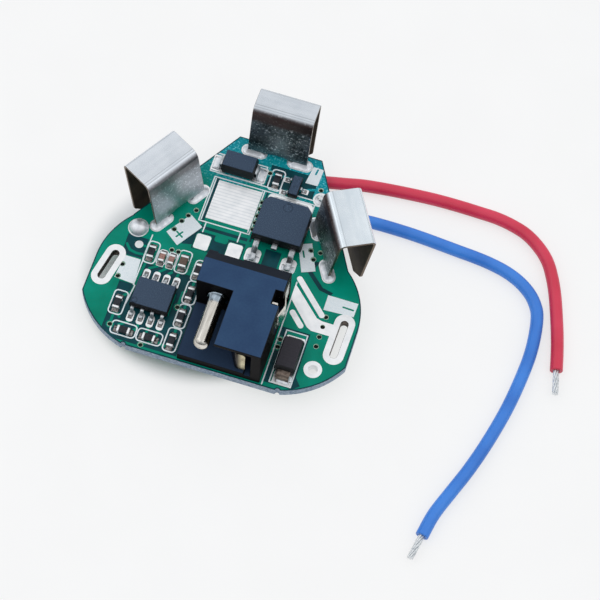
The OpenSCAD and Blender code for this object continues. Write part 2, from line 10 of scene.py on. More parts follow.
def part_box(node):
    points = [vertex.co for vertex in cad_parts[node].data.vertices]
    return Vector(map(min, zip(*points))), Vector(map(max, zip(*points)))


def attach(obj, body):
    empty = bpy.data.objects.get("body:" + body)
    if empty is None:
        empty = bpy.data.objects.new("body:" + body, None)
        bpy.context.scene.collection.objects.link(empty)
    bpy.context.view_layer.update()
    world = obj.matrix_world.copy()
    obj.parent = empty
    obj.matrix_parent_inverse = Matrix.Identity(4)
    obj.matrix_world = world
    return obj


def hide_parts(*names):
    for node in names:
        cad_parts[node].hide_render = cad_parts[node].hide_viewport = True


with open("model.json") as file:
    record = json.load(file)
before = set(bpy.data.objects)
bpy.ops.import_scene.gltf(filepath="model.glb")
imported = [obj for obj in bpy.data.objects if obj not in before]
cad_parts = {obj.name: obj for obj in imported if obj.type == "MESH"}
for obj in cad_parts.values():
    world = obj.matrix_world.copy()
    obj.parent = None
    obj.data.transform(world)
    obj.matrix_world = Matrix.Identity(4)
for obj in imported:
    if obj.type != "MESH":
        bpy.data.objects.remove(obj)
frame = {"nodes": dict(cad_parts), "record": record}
nodes = frame["nodes"]
scene = bpy.context.scene
scene.view_settings.view_transform = "Standard"
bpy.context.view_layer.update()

mm = 0.001                                      # lengths below are millimetres
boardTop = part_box("circuit_board")[1][2] / mm   # component side
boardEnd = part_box("circuit_board")[0][2] / mm   # underside
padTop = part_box("surface_pads")[1][2] / mm
overlap = 0.01                                  # how far thin pieces sink into the board


# The camera stands in front of the jack and looks down on the board

cameraSet = {"azimuth": 11.9, "elevation": 63.1, "roll": 5.85, "distance": 261.4,
             "lens": 128.6, "sensor": 36, "target": (8.61, -3.2, boardTop)}


def makeCamera(put):
    data = bpy.data.cameras.new("camera")
    data.lens = put["lens"]
    data.sensor_width = put["sensor"]
    data.clip_start = 0.01
    data.clip_end = 10
    camera = bpy.data.objects.new("camera", data)
    scene.collection.objects.link(camera)
    azimuth, elevation, roll = (math.radians(put[k]) for k in ("azimuth", "elevation", "roll"))
    back = Vector((math.sin(azimuth) * math.cos(elevation),
                   -math.cos(azimuth) * math.cos(elevation), math.sin(elevation)))
    side = Vector((math.cos(azimuth), math.sin(azimuth), 0))
    up = back.cross(side)
    right = side * math.cos(roll) + up * math.sin(roll)
    up = up * math.cos(roll) - side * math.sin(roll)
    place = (Vector(put["target"]) + back * put["distance"]) * mm
    turn = Matrix((right, up, back)).transposed().to_4x4()
    camera.matrix_world = Matrix.Translation(place) @ turn
    scene.camera = camera


makeCamera(cameraSet)


# Small tools for nodes, meshes and finished pieces

def linear(colour):
    parts = [int(colour[i:i + 2], 16) / 255 for i in (1, 3, 5)]
    return [c / 12.92 if c <= 0.04045 else ((c + 0.055) / 1.055) ** 2.4 for c in parts] + [1]


def addNode(tree, kind, links=None, stops=None, into=None, **settings):
    # links: a socket or a value for each input; into: (an output, the socket that it feeds)
    node = tree.nodes.new(kind)
    for key, value in settings.items():
        setattr(node, key, value)
    for key, value in (links or {}).items():
        if isinstance(value, bpy.types.NodeSocket):
            tree.links.new(value, node.inputs[key])
        else:
            node.inputs[key].default_value = value
    for i, (place, colour) in enumerate(stops or []):   # a ramp's stops, in rising order
        if i >= len(node.color_ramp.elements):
            node.color_ramp.elements.new(place)
        node.color_ramp.elements[i].position = place
        node.color_ramp.elements[i].color = linear(colour)
    if into:
        tree.links.new(node.outputs[into[0]], into[1])
    return node


def startMaterial(name, rough, metal=0.0, spec=0.5):
    mat = bpy.data.materials.new(name)
    mat.use_nodes = True
    tree = mat.node_tree
    shader = tree.nodes["Principled BSDF"]
    shader.inputs["Roughness"].default_value = rough
    shader.inputs["Metallic"].default_value = metal
    shader.inputs["Specular IOR Level"].default_value = spec
    place = addNode(tree, "ShaderNodeTexCoord").outputs["Object"]
    return mat, tree, shader, place


def perMetre(size):
    return 1 / (size * mm)      # a noise scale whose grains are about that size


waveUnit = 20 / (2 * math.pi)   # a wave texture's lines are this much closer than its scale


def newObject(name, points, faces):
    mesh = bpy.data.meshes.new(name)
    mesh.from_pydata([[c * mm for c in p] for p in points], [], faces)
    obj = bpy.data.objects.new(name, mesh)
    scene.collection.objects.link(obj)
    return obj


def bridge(sides, rows, closed=False, first=0):
    # quads between rows of points, each row a ring of that many sides
    faces = []
    for i in range(rows if closed else rows - 1):
        low, high = first + i * sides, first + (i + 1) % rows * sides
        for k in range(sides):
            m = (k + 1) % sides
            faces.append((low + k, high + k, high + m, low + m))
    return faces


def closeUnder(faces, count):
    # the faces again as an underside, whose points stand count further on, and walls between
    edges = {(f[i], f[(i + 1) % len(f)]) for f in faces for i in range(len(f))}
    walls = sorted((a + count, b + count, b, a) for a, b in edges if (b, a) not in edges)
    return faces + [[v + count for v in reversed(f)] for f in faces] + walls


def fixNormals(obj):
    bm = bmesh.new()
    bm.from_mesh(obj.data)
    bmesh.ops.recalc_face_normals(bm, faces=bm.faces)
    bm.to_mesh(obj.data)
    bm.free()


def finishPiece(obj, material, smooth=False):
    obj.data.materials.clear()
    obj.data.materials.append(material)
    if smooth:
        obj.data.shade_smooth()
    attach(obj, "root")
    return obj


def keepResult(obj, name):
    # turns what the object's modifiers make into a plain mesh, and drops the object
    graph = bpy.context.evaluated_depsgraph_get()
    mesh = bpy.data.meshes.new_from_object(obj.evaluated_get(graph), depsgraph=graph)
    obj.modifiers.clear()
    bpy.data.objects.remove(obj)
    mesh.name = name
    result = bpy.data.objects.new(name, mesh)
    scene.collection.objects.link(result)
    return result


def bakeNodes(obj, tree, values, name):
    modifier = obj.modifiers.new("build", "NODES")
    modifier.node_group = tree
    for item in tree.interface.items_tree:
        if item.item_type == "SOCKET" and item.in_out == "INPUT" and item.name in values:
            modifier[item.identifier] = values[item.name]
    return keepResult(obj, name)


def softenedCopy(node, arris, steps=2, join=0.002, sharp=28):
    # the CAD part's surface joined up, its arrises rounded off and its curves smooth; edges
    # shorter than join are closed first, because a bevel can't turn on them
    bm = bmesh.new()
    bm.from_mesh(nodes[node].data)
    bmesh.ops.remove_doubles(bm, verts=bm.verts, dist=join * mm)
    bmesh.ops.dissolve_limit(bm, angle_limit=math.radians(0.5), verts=bm.verts, edges=bm.edges)
    for face in bm.faces:
        face.smooth = True
    for edge in bm.edges:
        edge.smooth = edge.is_manifold and edge.calc_face_angle(0) < math.radians(sharp)
    obj = newObject(node + "_softened", [], [])
    bm.to_mesh(obj.data)
    bm.free()
    if arris:
        for edge in obj.data.edges:
            edge.use_edge_sharp = False
        bevel = obj.modifiers.new("arris", "BEVEL")
        bevel.width = arris * mm
        bevel.segments = steps
        bevel.limit_method = "ANGLE"
        bevel.angle_limit = math.radians(sharp)
        bevel.use_clamp_overlap = False
    obj.modifiers.new("normals", "WEIGHTED_NORMAL").keep_sharp = True
    obj = keepResult(obj, node + "_softened")
    low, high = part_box(node)
    for vertex in obj.data.vertices:                # a bevel may run past a sharp corner
        vertex.co = [min(max(c, a), b) for c, a, b in zip(vertex.co, low, high)]
    finishPiece(obj, nodes[node].data.materials[0])
    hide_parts(node)
    return obj


def startTree(name, inputs):
    tree = bpy.data.node_groups.new(name, "GeometryNodeTree")
    tree.interface.new_socket("Geometry", in_out="INPUT", socket_type="NodeSocketGeometry")
    for label, kind in inputs:
        tree.interface.new_socket(label, in_out="INPUT", socket_type=kind)
    tree.interface.new_socket("Geometry", in_out="OUTPUT", socket_type="NodeSocketGeometry")
    return tree, addNode(tree, "NodeGroupInput").outputs


def endTree(tree, geometry, given):
    real = addNode(tree, "GeometryNodeRealizeInstances", {"Geometry": geometry})
    dressed = addNode(tree, "GeometryNodeSetMaterial",
                      {"Geometry": real.outputs["Geometry"], "Material": given["Material"]})
    addNode(tree, "NodeGroupOutput", {"Geometry": dressed.outputs["Geometry"]})


# Materials

def mottle(tree, place, size, stops, detail=2, **more):
    # clouds or grains of about that size in millimetres: their level and their colour
    noise = addNode(tree, "ShaderNodeTexNoise", {
        "Vector": place, "Scale": perMetre(size), "Detail": detail, **more})
    ramp = addNode(tree, "ShaderNodeValToRGB", {"Fac": noise.outputs["Fac"]}, stops)
    return noise.outputs["Fac"], ramp.outputs["Color"]


def maskOverCopper():
    # liquid solder mask, cured over copper: a glossy, even, bright green skin, with a painted
    # turquoise reflection of the sky and painted glints towards the rear clip
    mat, tree, shader, place = startMaterial("solderMaskOnCopper", 0.24, 0, 0.1)
    cloud, green = mottle(tree, place, 4, [(0.3, "#007d66"), (0.55, "#018d76"),
                                           (0.75, "#059984")], 3)
    tealReflection = mottle(tree, place, 0.3, [(0.35, "#058692"), (0.55, "#12a0b0"),
                                     (0.68, "#86d8e0")], 3, Roughness=0.7)[1]
    spot = addNode(tree, "ShaderNodeSeparateXYZ", {"Vector": place})
    drift = addNode(tree, "ShaderNodeMath", {0: cloud, 1: 18 * mm, 2: spot.outputs["Y"]},
                    operation="MULTIPLY_ADD")
    far = addNode(tree, "ShaderNodeMapRange", {
        "Value": drift.outputs[0], "From Min": 14.5 * mm, "From Max": 24 * mm})
    # painted reflection: the turquoise takes over from the green towards the rear
    addNode(tree, "ShaderNodeMix", {0: far.outputs["Result"], 6: green, 7: tealReflection},
            into=(2, shader.inputs["Base Color"]), data_type="RGBA")
    ripple = addNode(tree, "ShaderNodeTexNoise", {"Vector": place, "Scale": perMetre(0.5)})
    addNode(tree, "ShaderNodeBump",
            {"Height": ripple.outputs["Fac"], "Strength": 0.12, "Distance": 0.02 * mm},
            into=("Normal", shader.inputs["Normal"]))
    return mat


def maskedLaminate():
    # solder mask on bare glass-epoxy laminate: darker than over copper, with the
    # cloth's weave faintly in it, and the pale sawn edge of the laminate at the sides
    mat, tree, shader, place = startMaterial("maskedGlassEpoxyLaminate", 0.3, 0, 0.13)
    mask = mottle(tree, place, 2, [(0.3, "#053a41"), (0.7, "#0b4e57")], 3)[1]
    plies = addNode(tree, "ShaderNodeMapping", {"Vector": place, "Scale": (0.6, 0.6, 1.3)})
    edge = mottle(tree, plies.outputs["Vector"], 0.22, [
        (0.36, "#74859b"), (0.5, "#9cabbd"), (0.64, "#c3ced8")], 4, Roughness=0.7)[1]
    turn = addNode(tree, "ShaderNodeSeparateXYZ", {"Vector": place.node.outputs["Normal"]})
    slope = addNode(tree, "ShaderNodeMath", {0: turn.outputs["Z"]}, operation="ABSOLUTE")
    flat = addNode(tree, "ShaderNodeMath", {0: slope.outputs[0], 1: 0.5},
                   operation="GREATER_THAN").outputs[0]
    addNode(tree, "ShaderNodeMix", {0: flat, 6: edge, 7: mask},
            into=(2, shader.inputs["Base Color"]), data_type="RGBA")
    addNode(tree, "ShaderNodeMapRange", {"Value": flat, "To Min": 0.75, "To Max": 0.3},
            into=("Result", shader.inputs["Roughness"]))
    weave = addNode(tree, "ShaderNodeTexBrick", {
        "Vector": place, "Scale": perMetre(0.5), "Mortar Size": 0.06, "Mortar Smooth": 1.0,
        "Brick Width": 0.6, "Row Height": 0.6})
    addNode(tree, "ShaderNodeBump",
            {"Height": weave.outputs["Fac"], "Strength": 0.15, "Distance": 0.01 * mm},
            into=("Normal", shader.inputs["Normal"]))
    return mat


def legendInk():
    # screen-printed epoxy ink: flat bluish white, a little uneven
    mat, tree, shader, place = startMaterial("screenPrintedInk", 0.6)
    tone = mottle(tree, place, 0.12, [(0.2, "#cbdfe4"), (0.36, "#e9f3f8"),
                                      (0.7, "#f5fbfe")])[1]
    tree.links.new(tone, shader.inputs["Base Color"])
    return mat


def levelledTin(name, dark, light, rough, wave, swollen=0.4, comb=None):
    # tin left by a hot-air leveller, a plating bath or a soldering iron: bright, with soft
    # low swells; comb: the spacing of the leveller's fine lines on the one large bare pad
    mat, tree, shader, place = startMaterial(name, rough, 1.0)
    cloud, tone = mottle(tree, place, wave, [(0.32, dark), (0.62, light)], 4, Roughness=0.6)
    addNode(tree, "ShaderNodeMapRange", {
        "Value": cloud, "From Min": 0.3, "From Max": 0.7, "To Min": rough + 0.14,
        "To Max": rough}, into=("Result", shader.inputs["Roughness"]))
    swell = addNode(tree, "ShaderNodeTexNoise", {"Vector": place, "Scale": perMetre(wave * 1.6)})
    addNode(tree, "ShaderNodeBump", {
        "Height": swell.outputs["Fac"], "Strength": swollen, "Distance": 0.08 * wave * mm},
        into=("Normal", shader.inputs["Normal"]))
    if comb:
        spot = addNode(tree, "ShaderNodeSeparateXYZ", {"Vector": place})
        left = addNode(tree, "ShaderNodeMath", {0: spot.outputs["X"], 1: 0.0},
                       operation="LESS_THAN")
        rear = addNode(tree, "ShaderNodeMath", {0: spot.outputs["Y"], 1: 3.2 * mm},
                       operation="GREATER_THAN")
        where = addNode(tree, "ShaderNodeMath", {0: left.outputs[0], 1: rear.outputs[0]},
                        operation="MULTIPLY")
        lines = addNode(tree, "ShaderNodeTexWave", {
            "Vector": place, "Scale": perMetre(comb * waveUnit), "Distortion": 0.6,
            "Detail Scale": perMetre(4)}, bands_direction="Y")
        shade = addNode(tree, "ShaderNodeValToRGB", {"Fac": lines.outputs["Fac"]},
                        [(0.05, "#eff1f3"), (0.4, "#ffffff")])
        tone = addNode(tree, "ShaderNodeMix", {
            0: where.outputs[0], 6: tone, 7: shade.outputs["Color"]},
            data_type="RGBA", blend_type="MULTIPLY").outputs[2]
    tree.links.new(tone, shader.inputs["Base Color"])
    return mat


def platedSteel(name, foot, turn, innerLegFluxAndShade, dark, light):
    # tin-plated spring steel strip, folded: pale blue-grey and smooth on top, with faint rolling
    # streaks along the fold, a painted brown reflection in a band below the inner bend, flux
    # specks over a painted dark reflection on the inner leg, painted dark shade in the channel,
    # and brown steel on cut edges
    mat, tree, shader, place = startMaterial(name, 0.2, 1.0)
    centre = Vector((*foot, 0)) * mm
    turned = addNode(tree, "ShaderNodeVectorRotate", {
        "Vector": place, "Center": centre, "Angle": math.radians(-turn)},
        rotation_type="Z_AXIS")
    own = addNode(tree, "ShaderNodeVectorMath", {0: turned.outputs["Vector"], 1: centre},
                  operation="SUBTRACT").outputs["Vector"]
    spot = addNode(tree, "ShaderNodeSeparateXYZ", {"Vector": own}).outputs
    outward = addNode(tree, "ShaderNodeVectorRotate", {
        "Vector": place.node.outputs["Normal"], "Angle": math.radians(-turn)},
        rotation_type="Z_AXIS")
    facing = addNode(tree, "ShaderNodeSeparateXYZ", {"Vector": outward.outputs["Vector"]}).outputs
    rolled = addNode(tree, "ShaderNodeMapping", {"Vector": own, "Scale": (0.04, 1, 1)})
    streak = addNode(tree, "ShaderNodeTexNoise", {
        "Vector": rolled.outputs["Vector"], "Scale": perMetre(0.8), "Detail": 1})
    # the channel's colour: dark brown painted shade
    cloud, channelShade = mottle(tree, place, 2.6, [(0.35, "#2a2016"), (0.65, "#4a3c2b")], 4,
                            Roughness=0.6)
    blend = addNode(tree, "ShaderNodeMix", {0: 0.6, 2: streak.outputs["Fac"],
                                            3: cloud}).outputs[0]
    plain = addNode(tree, "ShaderNodeValToRGB", {"Fac": blend}, [(0.36, dark), (0.62, light)])
    # painted crease shade: two faint darker lines along the inner bend, where its curve starts
    lean = addNode(tree, "ShaderNodeMath", {0: facing["Y"], 1: -0.5, 2: 0.5},
                   operation="MULTIPLY_ADD")
    creaseShade = addNode(tree, "ShaderNodeValToRGB", {"Fac": lean.outputs[0]}, [
        (0.46, "#ffffff"), (0.5, "#d6d6d6"), (0.55, "#ffffff"), (0.61, "#ffffff"),
        (0.65, "#dedede"), (0.7, "#ffffff")])
    tone = addNode(tree, "ShaderNodeMix", {0: 1.0, 6: plain.outputs["Color"],
                                           7: creaseShade.outputs["Color"]},
                   data_type="RGBA", blend_type="MULTIPLY").outputs[2]
    # faces that look at the board: inner is the inner leg's, inside is the channel's far wall
    inward = addNode(tree, "ShaderNodeMapRange", {
        "Value": facing["Y"], "From Min": -0.45, "From Max": -0.85}).outputs["Result"]
    free = addNode(tree, "ShaderNodeMath", {0: spot["Y"], 1: 2.3 * mm}, operation="GREATER_THAN")
    inner = addNode(tree, "ShaderNodeMath", {0: inward, 1: free.outputs[0]},
                    operation="SUBTRACT", use_clamp=True).outputs[0]
    inside = addNode(tree, "ShaderNodeMath", {0: inward, 1: inner},
                     operation="SUBTRACT", use_clamp=True).outputs[0]
    # flux specks on the inner leg, over a painted dark reflection of the board
    fluxOverDarkReflection = mottle(tree, place, 0.3, [(0.36, "#2b3033"), (0.54, "#5f676b"), (0.6, "#7b8487"),
                                     (0.63, "#ffffff")], 2, Roughness=0.75)[1]
    patch = addNode(tree, "ShaderNodeMapRange", {
        "Value": cloud, "From Min": 0.3, "From Max": 0.6, "To Min": 0.4 * innerLegFluxAndShade,
        "To Max": innerLegFluxAndShade})
    where = addNode(tree, "ShaderNodeMath", {0: patch.outputs["Result"], 1: inner},
                    operation="MULTIPLY").outputs[0]
    tone = addNode(tree, "ShaderNodeMix", {0: where, 6: tone, 7: fluxOverDarkReflection},
                   data_type="RGBA").outputs[2]
    # painted brown reflection, a band that fades downwards from the bend
    band = addNode(tree, "ShaderNodeMapRange", {
        "Value": spot["Z"], "From Min": 6.4 * mm, "From Max": 7.3 * mm,
        "To Max": 0.2 + 0.75 * innerLegFluxAndShade}, interpolation_type="SMOOTHSTEP")
    bendReflection = addNode(tree, "ShaderNodeMath", {0: band.outputs["Result"], 1: inner},
                    operation="MULTIPLY")
    side = addNode(tree, "ShaderNodeMath", {0: facing["X"]}, operation="ABSOLUTE")
    cutEdge = addNode(tree, "ShaderNodeMath", {0: side.outputs[0], 1: 0.6},
                      operation="GREATER_THAN")
    for share, colour in ((bendReflection.outputs[0], linear("#604a47")), (inside, channelShade),
                          (cutEdge.outputs[0], linear("#6d5f52"))):
        tone = addNode(tree, "ShaderNodeMix", {0: share, 6: tone, 7: colour},
                       data_type="RGBA").outputs[2]
    tree.links.new(tone, shader.inputs["Base Color"])
    # the channel's painted shade isn't metal
    addNode(tree, "ShaderNodeMapRange", {"Value": inside, "To Min": 1.0, "To Max": 0.05},
            into=("Result", shader.inputs["Metallic"]))
    matt = addNode(tree, "ShaderNodeMapRange", {
        "Value": blend, "From Min": 0.35, "From Max": 0.65, "To Min": 0.3, "To Max": 0.24})
    dusted = addNode(tree, "ShaderNodeMath", {0: where, 1: 0.14, 2: matt.outputs["Result"]},
                     operation="MULTIPLY_ADD")
    addNode(tree, "ShaderNodeMath", {0: inside, 1: 0.45, 2: dusted.outputs[0]},
            into=(0, shader.inputs["Roughness"]), operation="MULTIPLY_ADD")
    addNode(tree, "ShaderNodeBump", {"Height": cloud, "Strength": 0.04, "Distance": 0.03 * mm},
            into=("Normal", shader.inputs["Normal"]))
    return mat


def mouldedPolyester():
    # glass-filled polyester (PBT) from a polished mould: blue-black and satin, with a fine
    # orange peel; the level faces are painted bluer as painted sky reflection, the upright ones
    # darker as painted shade
    mat, tree, shader, place = startMaterial("mouldedPolyesterNavy", 0.45, 0, 0.03)
    grain = addNode(tree, "ShaderNodeTexNoise",
                    {"Vector": place, "Scale": perMetre(0.25), "Detail": 3}).outputs["Fac"]
    cloud = addNode(tree, "ShaderNodeTexNoise",
                    {"Vector": place, "Scale": perMetre(3), "Detail": 2}).outputs["Fac"]
    blend = addNode(tree, "ShaderNodeMix", {0: 0.35, 2: cloud, 3: grain})
    tone = addNode(tree, "ShaderNodeValToRGB", {"Fac": blend.outputs[0]},
                   [(0.35, "#32496a"), (0.65, "#385273")])
    turn = addNode(tree, "ShaderNodeSeparateXYZ", {"Vector": place.node.outputs["Normal"]})
    uprightShade = addNode(tree, "ShaderNodeValToRGB", {"Fac": turn.outputs["Z"]},
                       [(0.2, "#0e0c0d"), (0.75, "#252a33")])
    level = addNode(tree, "ShaderNodeMapRange", {
        "Value": turn.outputs["Z"], "From Min": 0.85, "From Max": 0.98})
    spot = addNode(tree, "ShaderNodeSeparateXYZ", {"Vector": place})
    roofReflectionShare = addNode(tree, "ShaderNodeMapRange", {       # the deck gets less painted sky reflection than the roof
        "Value": spot.outputs["Z"], "From Min": 3.5 * mm, "From Max": 7 * mm, "To Min": 0.5})
    share = addNode(tree, "ShaderNodeMath", {0: level.outputs["Result"],
                                             1: roofReflectionShare.outputs["Result"]}, operation="MULTIPLY")
    # the roof's level faces get the painted blue sky reflection, upright faces the painted dark
    # shade
    addNode(tree, "ShaderNodeMix", {
        0: share.outputs[0], 6: uprightShade.outputs["Color"], 7: tone.outputs["Color"]},
        into=(2, shader.inputs["Base Color"]), data_type="RGBA")
    addNode(tree, "ShaderNodeBump", {"Height": grain, "Strength": 0.15, "Distance": 0.02 * mm},
            into=("Normal", shader.inputs["Normal"]))
    return mat


def mouldingCompound(name, dark, light, speck, ribs=None):
    # silica-filled epoxy moulding compound: black, matt, finely speckled; the level faces painted
    # slate blue as painted sky reflection, the upright faces painted near black as painted shade;
    # ribs: the spacing of its fine cross lines
    mat, tree, shader, place = startMaterial(name, 0.5, 0, 0.25)
    grain, tone = mottle(tree, place, 0.1, [(0.35, dark), (0.62, light), (0.72, speck)], 3)
    turn = addNode(tree, "ShaderNodeSeparateXYZ", {"Vector": place.node.outputs["Normal"]})
    level = addNode(tree, "ShaderNodeMapRange", {
        "Value": turn.outputs["Z"], "From Min": 0.2, "From Max": 0.95})
    # level faces get the painted slate-blue sky reflection, upright faces a painted near-black
    # shade
    addNode(tree, "ShaderNodeMix", {0: level.outputs["Result"], 6: linear("#15171b"), 7: tone},
            into=(2, shader.inputs["Base Color"]), data_type="RGBA")
    height = grain
    if ribs:
        lines = addNode(tree, "ShaderNodeTexWave", {
            "Vector": place, "Scale": perMetre(ribs * waveUnit), "Distortion": 1.5,
            "Detail Scale": perMetre(2)}, bands_direction="Y")
        height = addNode(tree, "ShaderNodeMath", {0: lines.outputs["Fac"], 1: 1.5, 2: grain},
                         operation="MULTIPLY_ADD").outputs[0]
    addNode(tree, "ShaderNodeBump", {
        "Height": height, "Strength": 0.25, "Distance": (0.06 if ribs else 0.015) * mm},
        into=("Normal", shader.inputs["Normal"]))
    return mat


def platedBrass(name, dark, light, rough, paintedLightAlong=None):
    # turned or stamped brass under a thin plating: smooth, with faint drawn lines, and painted in
    # a colour
    # up to a place along an axis (axis, from, to, colour): the contact's painted shadow and the
    # pin's painted reflection
    mat, tree, shader, place = startMaterial(name, rough, 1.0)
    drawn = addNode(tree, "ShaderNodeMapping", {"Vector": place, "Scale": (1, 0.15, 1)})
    line, tone = mottle(tree, drawn.outputs["Vector"], 0.5, [(0.3, dark), (0.65, light)], 4)
    if paintedLightAlong:
        spot = addNode(tree, "ShaderNodeSeparateXYZ", {"Vector": place})
        clearOfPaintedLight = addNode(tree, "ShaderNodeMapRange", {
            "Value": spot.outputs[paintedLightAlong[0]], "From Min": paintedLightAlong[1] * mm, "From Max": paintedLightAlong[2] * mm})
        tone = addNode(tree, "ShaderNodeMix", {
            0: clearOfPaintedLight.outputs["Result"], 6: linear(paintedLightAlong[3]), 7: tone},
            data_type="RGBA").outputs[2]
    tree.links.new(tone, shader.inputs["Base Color"])
    addNode(tree, "ShaderNodeBump", {"Height": line, "Strength": 0.08, "Distance": 0.003 * mm},
            into=("Normal", shader.inputs["Normal"]))
    return mat


def firedCeramic(name, dark, light, rough, second=None, edge=0.0):
    # fired ceramic or glass glaze: even, slightly grainy, with a soft gloss; parts
    # beyond the edge (along X) are of the second firing's two colours, when there is one
    mat, tree, shader, place = startMaterial(name, rough, 0, 0.3)
    grain, tone = mottle(tree, place, 0.12, [(0.35, dark), (0.65, light)], 3)
    if second:
        spot = addNode(tree, "ShaderNodeSeparateXYZ", {"Vector": place})
        beyond = addNode(tree, "ShaderNodeMath", {0: spot.outputs["X"], 1: edge * mm},
                         operation="GREATER_THAN")
        other = addNode(tree, "ShaderNodeValToRGB", {"Fac": grain},
                        [(0.35, second[0]), (0.65, second[1])])
        tone = addNode(tree, "ShaderNodeMix", {
            0: beyond.outputs[0], 6: tone, 7: other.outputs["Color"]},
            data_type="RGBA").outputs[2]
    tree.links.new(tone, shader.inputs["Base Color"])
    addNode(tree, "ShaderNodeBump", {"Height": grain, "Strength": 0.2, "Distance": 0.01 * mm},
            into=("Normal", shader.inputs["Normal"]))
    return mat


def softVinyl(name, dark, light):
    # extruded soft vinyl (PVC) wire insulation: saturated, satin, a little uneven
    mat, tree, shader, place = startMaterial(name, 0.38, 0, 0.65)
    tone = mottle(tree, place, 6, [(0.35, dark), (0.65, light)])[1]
    tree.links.new(tone, shader.inputs["Base Color"])
    grain = addNode(tree, "ShaderNodeTexNoise",
                    {"Vector": place, "Scale": perMetre(0.3), "Detail": 2})
    addNode(tree, "ShaderNodeBump",
            {"Height": grain.outputs["Fac"], "Strength": 0.08, "Distance": 0.02 * mm},
            into=("Normal", shader.inputs["Normal"]))
    return mat


# each clip's foot, its turn about Z, how much flux and painted dark reflection lie on its inner
# leg, and its tin's two tones, lighter on some clips than on others as painted light and shade
clipPlaces = {"rear_clip": ((0, 15), 0, 0.95, "#cad0d7", "#d8dde3"),
              "left_clip": ((-9.3, 4.3), 59, 0.4, "#d4dae1", "#e2e7ed"),
              "right_clip": ((9.15, 4.2), -60.5, 0.9, "#dde6ed", "#ebf2f7")}
finishes = {                                    # one for each of the record's material slots
    "solder_mask": maskedLaminate(),
    "tinned_copper": levelledTin("hotAirLevelledTin", "#f0f2f4", "#fafafb", 0.38, 1.2,
                                 0.12, 0.45),
    "solder": levelledTin("flowedSolder", "#dce1e8", "#fafbfe", 0.44, 0.6),
    "navy_plastic": mouldedPolyester(),
    "tinned_steel": levelledTin("tinPlatedSteelStrip", "#9ba1a7", "#dadde0", 0.3, 0.6),
    "nickel": platedBrass("nickelPlatedBrass", "#b8b2a8", "#e4e0d8", 0.2),
    # the contact's rear, under the roof, painted dark as painted shadow
    "contact_brass": platedBrass("phosphorBronzeStrip", "#a3977a", "#d6cdab", 0.34,
                                 ("X", 4.3, 4.8, "#2b251b")),
    "epoxy": mouldingCompound("epoxyMouldingCompound", "#2f3f53", "#40546c", "#5f738d"),
    "tinned_lead": levelledTin("tinnedCopperLead", "#868c92", "#d0d4d8", 0.3, 0.4),
    "resistor_glaze": firedCeramic("overglazedResistor", "#16191f", "#2a2f38", 0.3),
    "capacitor_ceramic": firedCeramic("firedTitanateCeramic", "#8d655c", "#b98f86", 0.5,
                                      ("#55443c", "#766459"), -7.2),
    "red_insulation": softVinyl("softVinylRed", "#d72144", "#e43054"),
    "blue_insulation": softVinyl("softVinylBlue", "#2474d6", "#3588ea"),
    "tinned_wire": levelledTin("tinnedCopperStrand", "#c9ced2", "#f2f4f5", 0.36, 0.3),
}
maskedCopper = maskOverCopper()
ink = legendInk()
# the slots' plating, painted dark brown as painted shade
shadedSlotTin = levelledTin("slotTinPaintedShade", "#2a211c", "#5d5048", 0.4, 0.6)
viaTin = levelledTin("maskTintedTin", "#a5c4b2", "#dfeadb", 0.32, 0.5)
# solder painted dark grey as painted reflection of the dark surroundings
darkReflectingSolder = levelledTin("reflowedSolderPaste", "#2a2321", "#9d9a99", 0.24, 0.2)
# near-black: the via holes' painted shade
viaHoleShade = firedCeramic("viaHoleShadeDark", "#071312", "#0d201e", 0.35)

# nodes whose finish differs from the rest of their slot
ownFinishes = {
    # the pin's neck painted blue-grey as painted reflection of the sky
    "jack_pin": platedBrass("nickelPlatedPin", "#bcb6ac", "#e6e2da", 0.2,
                            ("Y", -8.9, -9.2, "#9daab5")),
    "front_diode_leads": levelledTin("bareCopperAlloyLead", "#5d5049", "#93857b", 0.34, 0.5),
    "front_diode_body": mouldingCompound("ribbedEpoxyCompound", "#2b2930", "#39373f",
                                         "#4d4a55", 0.36),
}
for node, values in clipPlaces.items():
    ownFinishes[node] = platedSteel("tinPlatedSteel" + node.split("_")[0].title(), *values)

slotOf = {part["node"]: part["material_slot"] for part in frame["record"]["subparts"]}
for node, slot in slotOf.items():
    nodes[node].data.materials.clear()
    nodes[node].data.materials.append(ownFinishes.get(node, finishes[slot]))
print("materials ready:", len(bpy.data.materials))


# CAD parts that gain rounded arrises: how far each is rounded, and in how many steps

arrises = {
    "rear_clip": (0.07, 2, 0.06), "left_clip": (0.07, 2, 0.06), "right_clip": (0.07, 2, 0.06),
    "jack_housing": (0.1, 2), "jack_pin_terminal": (0.08, 2),
    "jack_spring_contact": (0.06, 2), "jack_switch_contact": (0.06, 2),
    "controller_body": (0.07, 2), "transistor_body": (0.1, 2), "transistor_tab": (0.06, 2),
    "switch_transistor_body": (0.06, 2), "front_diode_body": (0.09, 2),
    "rear_diode_body": (0.09, 2), "controller_leads": (0.03, 1), "transistor_leads": (0.05, 2),
    "switch_transistor_leads": (0.03, 1),
    "rear_diode_leads": (0.05, 2), "chip_resistor_bodies": (0.03, 2),
    "chip_resistor_caps": (0.06, 2), "chip_capacitor_bodies": (0.05, 2),
    "chip_capacitor_caps": (0.07, 2), "solder_dome": (0, 0),
}
for node, sizes in arrises.items():
    softenedCopy(node, *sizes)
print("arrises rounded:", len(arrises))


# Wires: smooth jackets and twisted strands along the wires' own routes

